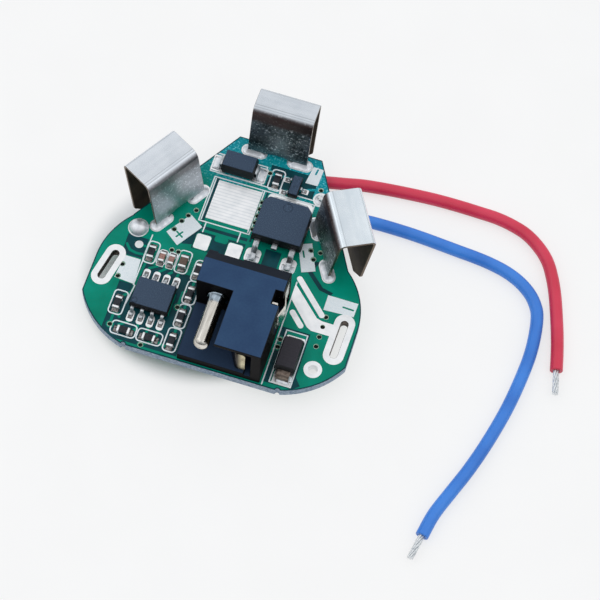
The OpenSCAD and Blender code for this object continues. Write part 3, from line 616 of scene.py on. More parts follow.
routes = {
    "red": [(5.4, 14.7), (7, 15.1), (9.2, 15.6), (11.4, 16.1), (14.4, 16.5), (17.5, 16.8),
            (20.5, 17), (23.5, 17.05), (26, 17), (28.6, 16.9), (30.8, 16.5), (32.8, 15.8),
            (34.7, 14.5), (36.2, 12.9), (37.3, 10.9), (38.2, 8.7), (39.1, 5.9), (39.9, 3.1),
            (40.45, 0.8), (40.9, -1.4)],
    "blue": [(8.5, 10.95), (11.2, 11.1), (14.2, 11.3), (17.6, 11.3), (20.1, 11.2),
             (22.8, 11), (25.2, 10.8), (27.7, 10.6), (29.8, 10.3), (31.8, 9.8), (33.6, 9),
             (35.1, 7.9), (36.1, 6.7), (36.8, 5.2), (37.2, 2.6), (37.3, -0.5), (37, -4.1),
             (36.5, -7.7), (35.8, -11.1), (34.9, -14.6), (33.9, -17.8), (32.7, -21),
             (31.6, -24.1), (31, -27.1)],
}
wire = {"jacket": 1.6, "wall": 0.38, "bored": 1.5, "sides": 32, "height": -1.2,
        "core": 0.8, "strand": 0.28, "around": 6, "pitch": 7, "bare": 3.09,
        "nearRed": 1.35, "blueHole": (7, 10.95), "blueBend": 0.7}


def smoothPath(points, steps=5):
    # a curve through every point, with the end stretches kept straight
    path = [Vector(p) for p in points]
    path = [2 * path[0] - path[1]] + path + [2 * path[-1] - path[-2]]
    out = []
    for a, b, c, d in zip(path, path[1:], path[2:], path[3:]):
        for k in range(steps):
            t = k / steps
            out.append(0.5 * (2 * b + (c - a) * t + (2 * a - 5 * b + 4 * c - d) * t ** 2
                              + (3 * b - a - 3 * c + d) * t ** 3))
    return out + [path[-2]]


def pathLength(points):
    return sum((Vector(b) - Vector(a)).length for a, b in zip(points, points[1:]))


def sweepTree():
    # sweeps a bundle of round strands along a curve, twisted once in each pitch
    tree, given = startTree("sweepStrands", [
        ("Radius", "NodeSocketFloat"), ("Strands", "NodeSocketInt"),
        ("Spread", "NodeSocketFloat"), ("Pitch", "NodeSocketFloat"),
        ("Sides", "NodeSocketInt"), ("Material", "NodeSocketMaterial")])
    along = addNode(tree, "GeometryNodeSplineParameter").outputs["Length"]
    turns = addNode(tree, "ShaderNodeMath", {0: along, 1: given["Pitch"]}, operation="DIVIDE")
    angle = addNode(tree, "ShaderNodeMath", {0: turns.outputs[0], 1: 2 * math.pi},
                    operation="MULTIPLY")
    twisted = addNode(tree, "GeometryNodeSetCurveTilt",
                      {"Curve": given["Geometry"], "Tilt": angle.outputs[0]})
    ring = addNode(tree, "GeometryNodeMeshCircle",
                   {"Vertices": given["Strands"], "Radius": given["Spread"]})
    centre = addNode(tree, "GeometryNodeMeshLine", {"Count": 1})
    spots = addNode(tree, "GeometryNodeJoinGeometry")
    tree.links.new(ring.outputs["Mesh"], spots.inputs[0])
    tree.links.new(centre.outputs["Mesh"], spots.inputs[0])
    strand = addNode(tree, "GeometryNodeCurvePrimitiveCircle",
                     {"Resolution": given["Sides"], "Radius": given["Radius"]})
    bundle = addNode(tree, "GeometryNodeInstanceOnPoints", {
        "Points": spots.outputs[0], "Instance": strand.outputs["Curve"]})
    profile = addNode(tree, "GeometryNodeRealizeInstances",
                      {"Geometry": bundle.outputs["Instances"]})
    swept = addNode(tree, "GeometryNodeCurveToMesh", {
        "Curve": twisted.outputs["Curve"], "Profile Curve": profile.outputs["Geometry"],
        "Fill Caps": True})
    endTree(tree, swept.outputs["Mesh"], given)
    return tree


def curveObject(paths, name):
    data = bpy.data.curves.new(name, "CURVE")
    data.dimensions = "3D"
    for path in paths:
        spline = data.splines.new("POLY")
        spline.points.add(len(path) - 1)
        for point, place in zip(spline.points, path):
            point.co = [c * mm for c in place] + [1]
    obj = bpy.data.objects.new(name, data)
    scene.collection.objects.link(obj)
    return obj


def pointAt(path, place):
    # the spot that far along a path, and the way it runs there
    for a, b in zip(path, path[1:]):
        step = (b - a).length
        if place <= step or b is path[-1]:
            ahead = (b - a).normalized()
            return a + ahead * place, ahead
        place -= step


def latheTube(name, path, profile, sides):
    # rings of the profile's (place along, radius) round a path in the X-Y plane
    points = []
    for place, radius in profile:
        spot, ahead = pointAt(path, place)
        across = Vector((-ahead.y, ahead.x, 0))
        for k in range(sides):
            angle = 2 * math.pi * k / sides
            points.append(spot + across * radius * math.cos(angle)
                          + Vector((0, 0, radius * math.sin(angle))))
    last = (len(profile) - 1) * sides
    ends = [list(range(sides)), [last + k for k in range(sides)]]
    obj = newObject(name, points, ends + bridge(sides, len(profile)))
    fixNormals(obj)
    return obj


def makeJacket(colour, route):
    # a sleeve whose ends are bored out, so that the strands leave a real hole
    path = [Vector((p.x, p.y, wire["height"])) for p in smoothPath(route)]
    length = pathLength(path)
    places = [pathLength(path[:i + 1]) for i in range(len(path))]
    r, inner, deep = wire["jacket"] / 2, wire["jacket"] / 2 - wire["wall"], wire["bored"]
    start = [(deep, inner), (0, inner), (0, r - 0.12), (0.04, r - 0.03), (0.14, r)]
    end = [(length - 0.14, r), (length - 0.04, r - 0.02), (length, r - 0.1),
           (length, inner), (length - deep, inner)]
    body = [(place, r) for place in places if 0.2 < place < length - 0.2]
    jacket = latheTube(colour + "_wire_insulation", path, start + body + end, wire["sides"])
    finishPiece(jacket, finishes[colour + "_insulation"], True)
    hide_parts(colour + "_wire_jacket")
    return jacket, path


def makeStrands(colour, path, tree):
    # a bare length at each end, which starts inside the sleeve
    back = (path[0] - path[1]).normalized()
    on = (path[-1] - path[-2]).normalized()
    tail = [path[-1] + on * d for d in (-1.2, -0.8, -0.4, 0, 0.5, 1, 1.5, 2, 2.5, wire["bare"])]
    if colour == "red":
        near = [path[0] - back * (1.2 - 0.2 * k) for k in range(5)]
        near += [path[0] + back * wire["nearRed"] * k / 4 for k in range(5)]
    else:                                         # the blue one turns up through its hole
        x, y = wire["blueHole"]
        bend, low = wire["blueBend"], wire["height"]
        near = [path[0] + back * d for d in (-1, -0.5, 0, 0.4)]
        for degrees in range(0, 91, 18):
            a = math.radians(degrees)
            near.append(Vector((x + bend * (1 - math.sin(a)), y, low + bend * (1 - math.cos(a)))))
        near += [Vector((x, y, z)) for z in (0.3, 0.9, padTop + 0.3, padTop + 0.65)]
    curve = curveObject([near, tail], colour + "Strands")
    strands = bakeNodes(curve, tree, {
        "Radius": wire["strand"] / 2 * mm, "Strands": wire["around"],
        "Spread": (wire["core"] - wire["strand"]) / 2 * mm, "Pitch": wire["pitch"] * mm,
        "Sides": 12, "Material": finishes["tinned_wire"]}, colour + "_wire_strands")
    fixNormals(strands)
    finishPiece(strands, finishes["tinned_wire"], True)
    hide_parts(colour + "_wire_core")
    return strands


strandTree = sweepTree()
for colour, route in routes.items():
    jacket, path = makeJacket(colour, route)
    strands = makeStrands(colour, path, strandTree)
    print(colour, "wire laid:", round(pathLength(path), 1), "mm")


# Flat shapes on the board: outlines in the board's plan, cut and joined exactly

def circle(x, y, r, steps=20):
    return [(x + r * math.cos(2 * math.pi * k / steps), y + r * math.sin(2 * math.pi * k / steps))
            for k in range(steps)]


def box(left, low, right, high):
    return [(left, low), (right, low), (right, high), (left, high)]


def roundBox(left, low, right, high, r, steps=4):
    out = []
    for x, y, start in ((right - r, high - r, 0), (left + r, high - r, 90),
                        (left + r, low + r, 180), (right - r, low + r, 270)):
        for k in range(steps + 1):
            a = math.radians(start + 90 * k / steps)
            out.append((x + r * math.cos(a), y + r * math.sin(a)))
    return out


def stroke(points, width, closed=False):
    # a line drawn with a round pen: a bar for each stretch and a disc at each point
    out = []
    ends = points[1:] + points[:1] if closed else points[1:]
    for a, b in zip(map(Vector, points), map(Vector, ends)):
        if (b - a).length > 1e-4:
            side = (b - a).orthogonal().normalized() * width / 2
            out.append([tuple(a + side), tuple(b + side), tuple(b - side), tuple(a - side)])
    return out + [circle(x, y, width / 2, 8) for x, y in points]


def area(ring):
    return sum(a[0] * b[1] - b[0] * a[1] for a, b in zip(ring, ring[1:] + ring[:1])) / 2


def wound(ring):
    return ring if area(ring) > 0 else ring[::-1]     # counter-clockwise


def middleAndReach(ring):
    # a ring's middle, and how far its nearest and farthest corners are from it
    middle = sum((Vector(p) for p in ring), Vector((0, 0))) / len(ring)
    reach = [(Vector(p) - middle).length for p in ring]
    return middle, min(reach), max(reach)


def flatLoops(node, height):
    # closed outlines of the node's level faces at that height
    bm = bmesh.new()
    bm.from_mesh(nodes[node].data)
    bmesh.ops.remove_doubles(bm, verts=bm.verts, dist=0.003 * mm)
    level = [f for f in bm.faces
             if f.normal.z > 0.99 and abs(f.calc_center_median().z - height * mm) < 0.003 * mm]
    chosen = set(level)
    after = {}                      # from each corner of the border, the next corner
    for face in level:
        for loop in face.loops:
            if not any(f in chosen for f in loop.edge.link_faces if f is not face):
                after.setdefault(loop.vert, []).append(loop.link_loop_next.vert)
    loops = []
    while after:
        start = next(iter(after))
        ring, vert = [], start
        while vert in after:
            ring.append((vert.co.x / mm, vert.co.y / mm))
            following = after[vert].pop()
            if not after[vert]:
                del after[vert]
            vert = following
            if vert is start:
                break
        loops.append(ring)
    bm.free()
    return sorted(loops, key=area, reverse=True)


def flatSheet(name, shapes, cuts, low, high, gapsAndShade=(), tracks=()):
    # what lies in a shape, in no cut, and in no gap unless a track crosses it
    kinds, rings = [], []
    for kind, group in (("shape", shapes), ("cut", cuts), ("gap", gapsAndShade), ("track", tracks)):
        for ring in group:
            kinds.append(kind)
            rings.append(wound(ring))
    points, faces = [], []
    for ring in rings:
        faces.append(list(range(len(points), len(points) + len(ring))))
        points += [Vector(p) for p in ring]
    flat, _, triangles, _, _, owners = delaunay_2d_cdt(points, [], faces, 1, 1e-4)
    kept = []
    for triangle, owner in zip(triangles, owners):
        inside = {kinds[i] for i in owner}
        etched = "gap" in inside and "track" not in inside
        if "shape" in inside and "cut" not in inside and not etched:
            kept.append(triangle)
    used = sorted({v for t in kept for v in t})
    index = {v: i for i, v in enumerate(used)}
    verts = [(flat[v].x, flat[v].y, z) for z in (high, low) for v in used]
    return newObject(name, verts, closeUnder([[index[v] for v in t] for t in kept], len(used)))


boardLoops = flatLoops("circuit_board", boardTop)
boardOutline, boardHoles = boardLoops[0], boardLoops[1:]
padLoops = [ring for ring in flatLoops("surface_pads", padTop) if area(ring) > 0]
print("board outline points:", len(boardOutline), "holes:", len(boardHoles),
      "pads:", len(padLoops))

viaSizes = {"hole": 0.3, "wall": 0.02, "ring": 0.37, "rise": 0.045, "plug": 0.25}
viaSpots = []
for hole in boardHoles:
    middle, near, far = middleAndReach(hole)
    if far < viaSizes["hole"] * 1.05:
        viaSpots.append(tuple(middle))

copper = {"height": 0.035, "border": 0.15, "track": 0.34}
gapAndShadowAreas = [
    # round the small chips and the controller
    [(-13.1, -7.6), (-13.1, -14.2), (-12.1, -15.2), (-3.3, -15.2), (-3.3, -4.3), (-11.2, -4.3),
     (-11.2, -7.6)],
    # round the test pad, left of the capacitors
    [(-14.2, -1.1), (-11.5, -1.1), (-11.5, -3.9), (-14.1, -4)],
    # between the left clip and the empty transistor place
    [(-5.9, 3.3), (-5.9, 0), (-7.6, -0.4), (-7.2, 0.9)],
    [(-6.3, 3.2), (-5.9, 3.2), (-5.9, 9.95), (-6.3, 9.95)],
    [(-6.3, 2.85), (0, 2.85), (0, 2.4), (-6.3, 2.4)],
    [(-6.3, 2), (0, 2), (0, -0.6), (-6.3, -0.6)],
    # between the right clip and the power tracks
    [(8.95, 2.5), (9.45, 2.5), (8.9, 1), (10.8, -0.75), (12.2, -1.05), (12, -1.5),
     (10.45, -1.2), (8.3, 0.8)],
    # round the front diode
    [(7.6, -7.3), (11.2, -7.3), (11.2, -13.3), (12, -14.3), (11.2, -15), (7.6, -15)],
    # between the transistor's lead pads a darker patch, the transistor's painted shadow, and a
    # gap along its sides
    [(2.6, 2.2), (4.6, 2.2), (4.6, -0.2), (2.6, -0.2)],
    [(0.25, 2.5), (0.5, 2.5), (0.5, 9.9), (0.25, 9.9)],
    # round the small transistor and its resistor
    [(-0.3, 10.6), (5.9, 10.6), (5.9, 13.9), (-0.3, 13.9)],
]
underGaps = [box(-0.9, -13, -0.3, 9), box(-11, -0.2, 11, 0.3)]
trackRuns = [
    [(-10.25, -6), (-10.2, -4.9), (-9.3, -4.3), (-9.15, -3.9)],
    [(-9, -6), (-8.9, -5), (-8.2, -4.3), (-7.95, -3.9)],
    [(-7.7, -6), (-7.7, -4.9), (-7.4, -4.6)],
    [(-6.45, -6), (-6.6, -4.9), (-6.45, -3.9)],
    [(-10.65, -3.6), (-10.9, -4.5), (-11.2, -8.6), (-12.3, -9.8)],
    [(-10.25, -11.7), (-10.25, -12.6), (-11.2, -13.3), (-11.2, -14)],
    [(-9, -11.7), (-9, -13.2), (-9.6, -13.9)],
    [(-7.7, -11.7), (-7.7, -13.2), (-8, -13.9)],
    [(-6.45, -11.7), (-6.4, -13.9)],
    [(-12.3, -11.5), (-12.3, -13.55)],
    [(-12.3, -11.5), (-11.5, -12.3)],
    [(-4.4, -9.3), (-4.35, -7.6)],
    [(-4.4, -10.9), (-4.45, -12.7)],
    [(-5.25, -8.85), (-5.25, -6.8), (-4.4, -6)],
    [(-6.4, -13.95), (-5.4, -14.3), (-4.45, -14.3)],
    [(-7.85, -15.05), (-7.4, -14.7), (-6.6, -14.3)],
    [(-4.35, -6), (-4.4, -4.2)],
    [(-13.9, -2.5), (-13.3, -3.2), (-12.4, -3.4), (-11.5, -3.3)],
    [(-12.45, -2.15), (-11.4, -2.15)],
    [(2.6, 10.9), (1.9, 10.6)],
    [(4.1, 11.45), (5.2, 11.9), (6.5, 12.3)],
    [(0.95, 12.7), (2.2, 12.7), (2.8, 12.4)],
    [(-0.2, 12.65), (0.6, 12.65)],
]
copperPatches = [
    box(-10.9, -10.4, -5.9, -7.3),
    roundBox(-3.9, 1.2, -2.2, 2.1, 0.3),
    roundBox(-6.2, -0.55, -4.2, 1.75, 0.3),
    roundBox(-2.1, -0.55, -0.1, 1.75, 0.3),
    roundBox(8.45, -9.9, 10.95, -7.6, 0.2),
    roundBox(8.45, -14.9, 10.95, -12.8, 0.2),
    circle(7.9, -9.05, 0.5), circle(7.9, -10.1, 0.5), circle(-5.25, -8.85, 0.5),
    circle(-12.25, -13.55, 0.5), circle(-7.85, -15.05, 0.45), circle(6.6, 12.3, 0.6),
    circle(-0.2, 12.65, 0.5), circle(9.1, 3.8, 0.5),
]


def makeCopper():
    # copper left by the etch, seen as a raised, brighter green under the mask
    border = stroke(boardOutline, 2 * copper["border"], True)
    runs = [piece for run in trackRuns for piece in stroke(run, copper["track"])]
    pour = flatSheet("masked_copper_top", [boardOutline], boardHoles + padLoops + border,
                     boardTop - overlap, boardTop + copper["height"], gapAndShadowAreas,
                     runs + copperPatches)
    finishPiece(pour, maskedCopper)
    under = flatSheet("masked_copper_under", [boardOutline], boardHoles + border,
                      boardEnd - copper["height"], boardEnd + overlap, underGaps)
    finishPiece(under, maskedCopper)


makeCopper()
print("copper under the mask done")


def inset(ring, distance):
    out = []
    for a, b, c in zip(ring[-1:] + ring[:-1], ring, ring[1:] + ring[:1]):
        u, v = (Vector(b) - Vector(a)).normalized(), (Vector(c) - Vector(b)).normalized()
        side = Vector((-(u + v).y, (u + v).x)).normalized()
        out.append(tuple(Vector(b) + side * distance / max(side.dot((-u.y, u.x)), 0.3)))
    return out


def platedWall(name, rings, thick, material):
    # plating from the underside to just above the pads, thick towards the hole's middle
    wall = flatSheet(name, [inset(ring, -overlap) for ring in rings],
                     [inset(ring, thick) for ring in rings], boardEnd, boardTop + thick)
    finishPiece(wall, material)


def makeHoleLinings():
    # the two long slots are plated through, their plating painted dark as painted shade inside,
    # the fixing hole's barrel is bright
    rings = [wound(ring) for ring in boardHoles]
    slots = [ring for ring in rings
             if max(p[0] for p in ring) > 14 or min(p[0] for p in ring) < -14.5]
    fixings = []
    for ring in rings:
        middle, near, far = middleAndReach(ring)
        if middle.x > 9 and middle.y < -6 and 0.45 < near and far < 1.4:
            fixings.append(ring)
    platedWall("slot_linings", slots, 0.03, shadedSlotTin)
    platedWall("fixing_hole_barrel", fixings, 0.04, finishes["tinned_copper"])
    print("slots lined:", len(slots), "fixing holes:", len(fixings))


makeHoleLinings()


# White print on the mask: outlines, lines and tabs with plain signs

legend = {"height": 0.055, "line": 0.16, "mark": 0.23, "corner": 0.45, "border": 0.15}
chipOutlines = [
    (-11.35, -4.25, -9.9, -1.2), (-9.75, -4, -8.6, -1.95), (-8.5, -4, -7.4, -1.95),
    (-7.3, -4.35, -5.75, -1.2), (-13.1, -12.1, -11.4, -8.85), (-12, -14.6, -8.9, -12.85),
    (-8.7, -14.6, -5.6, -12.9), (-5.25, -14.85, -3.65, -11.65), (-5, -11.5, -3.6, -8.2),
    (-5.05, -8.1, -3.5, -4.9), (-5, -4.9, -3.6, -1.9), (0.05, 10.4, 1.7, 13.4),
]
legendLines = [
    [(-11.3, -0.4), (-11.3, -7.6), (-11.1, -7.7), (-11.35, -10.3)],
    [(-6.6, 9.95), (-6.6, 3.45), (-0.05, 3.45), (-0.05, 9.95)],
    [(-6.35, 9.75), (-6.35, 3.7)], [(-0.3, 9.75), (-0.3, 3.7)],
    [(-5.6, 3.45), (-5.6, 2)], [(-1.1, 3.45), (-1.1, 2)],
    [(-6.6, 10), (7, 10)], [(-6.6, 10.6), (7, 10.6)],
    [(6.45, 9.9), (6.45, 8.3)],
    [(7.55, -1), (7.55, -15.4)],
]
legendFrames = [
    [(-7.45, 10.65), (-7.45, 13.35), (-0.75, 13.35), (-0.75, 10.65)],
    [(8.3, -7.6), (10.95, -7.6), (10.95, -14.8), (8.3, -14.8)],
]
legendTabs = [                                   # printed solid, with the mark left out
    [(-9.85, 0.6), (-8, -0.8), (-5.85, 2.6), (-7.7, 3.85)],
    [(4.75, 15.25), (6.1, 15.2), (6, 12.75), (4.4, 12.7)],
    [(11.7, -1.5), (15.55, -1.5), (15.5, -3.4), (11.7, -3.6)],
    [(-13.6, -4.1), (-11.55, -4.1), (-11.3, -7.55), (-13.85, -7.35)],
]
slantedTab = (7.7, 2.6, 3.9, 1.75, 113)          # middle, length, width and turn
legendMarks = [
    [(-8.47, 0.33), (-7.93, 1.17)], [(-8.62, 1.02), (-7.78, 0.48)],    # plus
    [(7, 3.35), (7.35, 2.6)], [(5.4, 15), (5.3, 14.3)], [(13.9, -2.5), (15.2, -2.55)],
]


def turnedBox(x, y, length, width, degrees):
    a = math.radians(degrees)
    along, across = (math.cos(a), math.sin(a)), (-math.sin(a), math.cos(a))
    return [(x + along[0] * u * length / 2 + across[0] * v * width / 2,
             y + along[1] * u * length / 2 + across[1] * v * width / 2)
            for u, v in ((1, 1), (-1, 1), (-1, -1), (1, -1))]


def makeLegend():
    thin, corner = legend["line"], legend["corner"]
    shapes = []
    for outline in chipOutlines:
        shapes += stroke(roundBox(*outline, corner), thin, True)
    for line in legendLines:
        shapes += stroke(line, thin)
    for outline in legendFrames:
        shapes += stroke(outline, thin, True)
    shapes += legendTabs + [turnedBox(*slantedTab)]
    clear = stroke(boardOutline, 2 * legend["border"], True)
    for mark in legendMarks:
        clear += stroke(mark, legend["mark"])
    clear += [circle(x, y, viaSizes["ring"]) for x, y in viaSpots]
    sheet = flatSheet("printed_legend", shapes, boardHoles + padLoops + clear,
                      boardTop - overlap, boardTop + legend["height"])
    finishPiece(sheet, ink)


makeLegend()
print("legend printed")


# Repeated small metal: via barrels and solder fillets, one form copied to its places

def copyTree():
    tree, given = startTree("copiesOnPlaces", [
        ("Form", "NodeSocketObject"), ("Material", "NodeSocketMaterial")])
    form = addNode(tree, "GeometryNodeObjectInfo", {"Object": given["Form"]})
    turn = addNode(tree, "GeometryNodeInputNamedAttribute", {"Name": "turn"},
                   data_type="FLOAT_VECTOR")
    size = addNode(tree, "GeometryNodeInputNamedAttribute", {"Name": "size"},
                   data_type="FLOAT_VECTOR")
    copies = addNode(tree, "GeometryNodeInstanceOnPoints", {
        "Points": given["Geometry"], "Instance": form.outputs["Geometry"],
        "Rotation": addNode(tree, "FunctionNodeEulerToRotation",
                            {"Euler": turn.outputs["Attribute"]}).outputs["Rotation"],
        "Scale": size.outputs["Attribute"]})
    endTree(tree, copies.outputs["Instances"], given)
    return tree


def copyForm(name, form, places, material, tree):
    # places: x, y, z, turn about Z in degrees, size along X, Y, Z, and whether turned over
    spots = newObject(name + "Spots", [p[:3] for p in places], [])
    turn = spots.data.attributes.new("turn", "FLOAT_VECTOR", "POINT")
    size = spots.data.attributes.new("size", "FLOAT_VECTOR", "POINT")
    for i, (_, _, _, degrees, scale, *over) in enumerate(places):
        turn.data[i].vector = (math.pi if any(over) else 0, 0, math.radians(degrees))
        size.data[i].vector = scale
    piece = bakeNodes(spots, tree, {"Form": form, "Material": material}, name)
    bpy.data.objects.remove(form)
    return finishPiece(piece, material, True)


def lathe(name, profile, sides):
    # a closed ring swept from a closed (radius, height) profile
    points = [(r * math.cos(2 * math.pi * k / sides), r * math.sin(2 * math.pi * k / sides), z)
              for r, z in profile for k in range(sides)]
    obj = newObject(name, points, bridge(sides, len(profile), True))
    fixNormals(obj)
    return obj


def makeVias(tree):
    low, high = boardEnd - viaSizes["rise"], boardTop + viaSizes["rise"]
    bore, wall, ring = viaSizes["hole"] - viaSizes["wall"], viaSizes["hole"], viaSizes["ring"]
    form = lathe("viaForm", [
        (bore, low + 0.02), (bore, high - 0.02), (bore + 0.03, high), (ring - 0.05, high),
        (ring, boardTop + 0.01), (ring, boardTop - 0.005), (wall - 0.005, boardTop - 0.005),
        (wall - 0.005, boardEnd + 0.005), (ring, boardEnd + 0.005), (ring, boardEnd - 0.01),
        (ring - 0.05, low), (bore + 0.03, low)], 20)
    places = [(x, y, 0, 0, (1, 1, 1)) for x, y in viaSpots]
    copyForm("plated_vias", form, places, viaTin, tree)
    # near-black plugs down in the vias: painted shade of the deep holes
    plug = lathe("plugForm", [(0, low + 0.03), (wall - 0.01, low + 0.03),
                              (wall - 0.01, boardTop - viaSizes["plug"]),
                              (0, boardTop - viaSizes["plug"] - 0.12)], 20)
    copyForm("mask_plugs", plug, places, viaHoleShade, tree)
    print("vias:", len(places))


def filletForm(steps=6, across=6):
    # concave solder toe, 1 long along X from the part's face, 1 wide and 1 high
    points, faces = [], []
    for i in range(steps + 1):
        u = i / steps
        for j in range(across + 1):
            v = 2 * j / across - 1
            crown = max((1 - u) ** 2 * (1 - 0.25 * v * v), 0.04)
            onEdge = j in (0, across) or i == steps
            points.append((u - 0.15, v * 0.5 * (1 - 0.12 * u * u), 0 if onEdge else crown))
            if i < steps and j < across:
                a = i * (across + 1) + j
                faces.append([a, a + across + 1, a + across + 2, a + 1])
    under = [(x, y, -0.1) for x, y, z in points]
    obj = newObject("filletForm", points + under, closeUnder(faces, len(points)))
    fixNormals(obj)
    return obj


pinSizes = {"x": -0.4, "height": 4.1, "radius": 1.0, "front": 15.05, "nose": 0.8, "sides": 96}


def makePin():
    # the jack's riveted centre pin: rivet head, shank, collar with its cone, shaft, nose
    s = pinSizes
    outline = [(0, 3.3), (1.06, 3.3), (1.1, 3.34), (1.1, 3.59), (0.9, 3.59), (0.9, 7.7),
               (1.26, 7.7), (1.3, 7.74), (1.3, 8.16), (1.26, 8.2), (1.15, 8.3),
               (1.08, 8.45), (1.03, 8.65), (1.01, 8.9)]
    outline += [(s["radius"], reach) for reach in (9.2, 11, 13)]
    for a in range(0, 91, 9):
        outline.append((s["radius"] - s["nose"] * (1 - math.cos(math.radians(a))),
                        s["front"] - s["nose"] * (1 - math.sin(math.radians(a)))))
    pin = lathe("pinForm", outline + [(0, s["front"])], s["sides"])
    for v in pin.data.vertices:
        x, y, z = v.co
        v.co = (x + s["x"] * mm, -z, y + (boardTop + s["height"]) * mm)
    pin.name = "jack_centre_pin"
    fixNormals(pin)
    pin.modifiers.new("normals", "WEIGHTED_NORMAL").keep_sharp = True
    pin.data.shade_smooth()
    pin = keepResult(pin, "jack_centre_pin")
    finishPiece(pin, ownFinishes["jack_pin"])
    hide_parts("jack_pin")


chipRows = [      # places, half a part's length, and each solder toe's length, width and height
    ([(-10.65, -2.8, 90), (-12.3, -10.65, 90), (-10.4, -13.95, 0), (-7.2, -13.95, 0),
      (-4.45, -13.5, 90), (-4.4, -10.1, 90), (-4.35, -6.8, 90), (-4.4, -3.4, 90),
      (0.95, 11.85, 90)], 0.78, (0.55, 0.98, 0.3)),
    ([(-9.15, -3.1, 90), (-7.95, -3.1, 90)], 0.63, (0.55, 0.86, 0.34)),
    ([(-6.45, -2.95, 90)], 0.78, (0.55, 1.1, 0.4)),
]
controller = {"place": (-8.35, -8.8), "pitch": 1.27, "toe": 2.85, "size": (0.6, 0.6, 0.2)}
smallTransistor = {"place": (3.45, 11.45), "pitch": 0.95, "toe": 1.15,
                   "size": (0.45, 0.55, 0.14)}
transistor = {"place": (3.6, 5.5), "pitch": 2.286, "toe": 5.45, "size": (0.6, 1.15, 0.4),
              "flank": (0.38, -5.1), "flankSize": (0.5, 0.9, 0.3)}
frontDiode, rearDiode = (9.7, -11.3, 0), (-4, 11.95, 90)


def sideBySide(place, offset, turn, size):
    a = math.radians(place[2])
    x = place[0] + offset[0] * math.cos(a) - offset[1] * math.sin(a)
    y = place[1] + offset[0] * math.sin(a) + offset[1] * math.cos(a)
    return (x, y, padTop, place[2] + turn, size)


def makeFillets(tree):
    small = []                                  # thin joints under the small parts, painted dark grey as painted reflection of the dark surroundings
    for places, half, size in chipRows:
        for chip in places:
            small += [sideBySide(chip, (half, 0), 0, size),
                      sideBySide(chip, (-half, 0), 180, size)]
    x, y = controller["place"]
    for k in range(4):
        at = (x + (k - 1.5) * controller["pitch"], y, 0)
        small += [sideBySide(at, (0, s * controller["toe"]), 90 * s, controller["size"])
                  for s in (-1, 1)]
    x, y = smallTransistor["place"]
    for s, row in ((-1, 1), (-1, -1), (1, 0)):
        at = (x, y + row * smallTransistor["pitch"], 0)
        small.append(sideBySide(at, (s * smallTransistor["toe"], 0), 90 - 90 * s,
                                smallTransistor["size"]))
    full = []                                   # bright joints with more solder
    x, y = transistor["place"]
    out, back = transistor["flank"]
    for s in (-1, 1):
        at = (x + s * transistor["pitch"], y, 0)
        full += [sideBySide(at, (0, -transistor["toe"]), -90, transistor["size"]),
                 sideBySide(at, (out, back), 0, transistor["flankSize"]),
                 sideBySide(at, (-out, back), 180, transistor["flankSize"]),
                 sideBySide(rearDiode, (0, s * 2.62), 90 * s, (0.9, 2, 0.5)),
                 sideBySide(frontDiode, (0.8, s * 2.5), 0, (0.38, 0.8, 0.6)),
                 sideBySide(frontDiode, (-0.8, s * 2.5), 180, (0.2, 0.6, 0.2))]
    full.append(sideBySide(frontDiode, (0, -3.02), -90, (0.35, 1.7, 0.14)))
    copyForm("chip_fillets", filletForm(), small, darkReflectingSolder, tree)
    copyForm("lead_fillets", filletForm(), full, finishes["solder"], tree)
    print("fillets:", len(small) + len(full))


bentLead = {"at": frontDiode[:2], "wide": 1.65, "thick": 0.2, "rearReach": -0.3,
            "line": [(1.7, 1.13), (2.4, 1.12), (2.74, 0.96), (2.92, 0.62), (2.92, 0.3),
                     (2.76, 0.15), (2.2, 0.15)]}


def makeBentLeads():
    # the front diode's flat leads: out of the body, down in a curve, and tucked under
    b = bentLead
    line = smoothPath(b["line"], 4)
    outer, inner = [], []
    for i, spot in enumerate(line):
        ahead = (line[min(i + 1, len(line) - 1)] - line[max(i - 1, 0)]).normalized()
        side = Vector((-ahead.y, ahead.x)) * b["thick"] / 2
        outer.append(spot + side)
        inner.append(spot - side)
    ring = outer + inner[::-1]
    count = len(ring)
    points, faces = [], []
    for end, reach in ((-1, 0), (1, b["rearReach"])):
        start = len(points)
        for half in (-b["wide"] / 2, b["wide"] / 2):
            points += [(b["at"][0] + half, b["at"][1] + end * (spot.x + reach),
                        boardTop + spot.y) for spot in ring]
        faces += [[start + k for k in range(count)], [start + count + k for k in range(count)]]
        faces += bridge(count, 2, False, start)
    leads = newObject("bent_diode_leads", points, faces)
    fixNormals(leads)
    bevel = leads.modifiers.new("arris", "BEVEL")
    bevel.width, bevel.segments, bevel.limit_method = 0.04 * mm, 2, "ANGLE"
    bevel.angle_limit = math.radians(40)
    leads.data.shade_smooth()
    leads.modifiers.new("normals", "WEIGHTED_NORMAL").keep_sharp = True
    leads = keepResult(leads, "bent_diode_leads")
    finishPiece(leads, ownFinishes["front_diode_leads"])
    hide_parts("front_diode_leads")


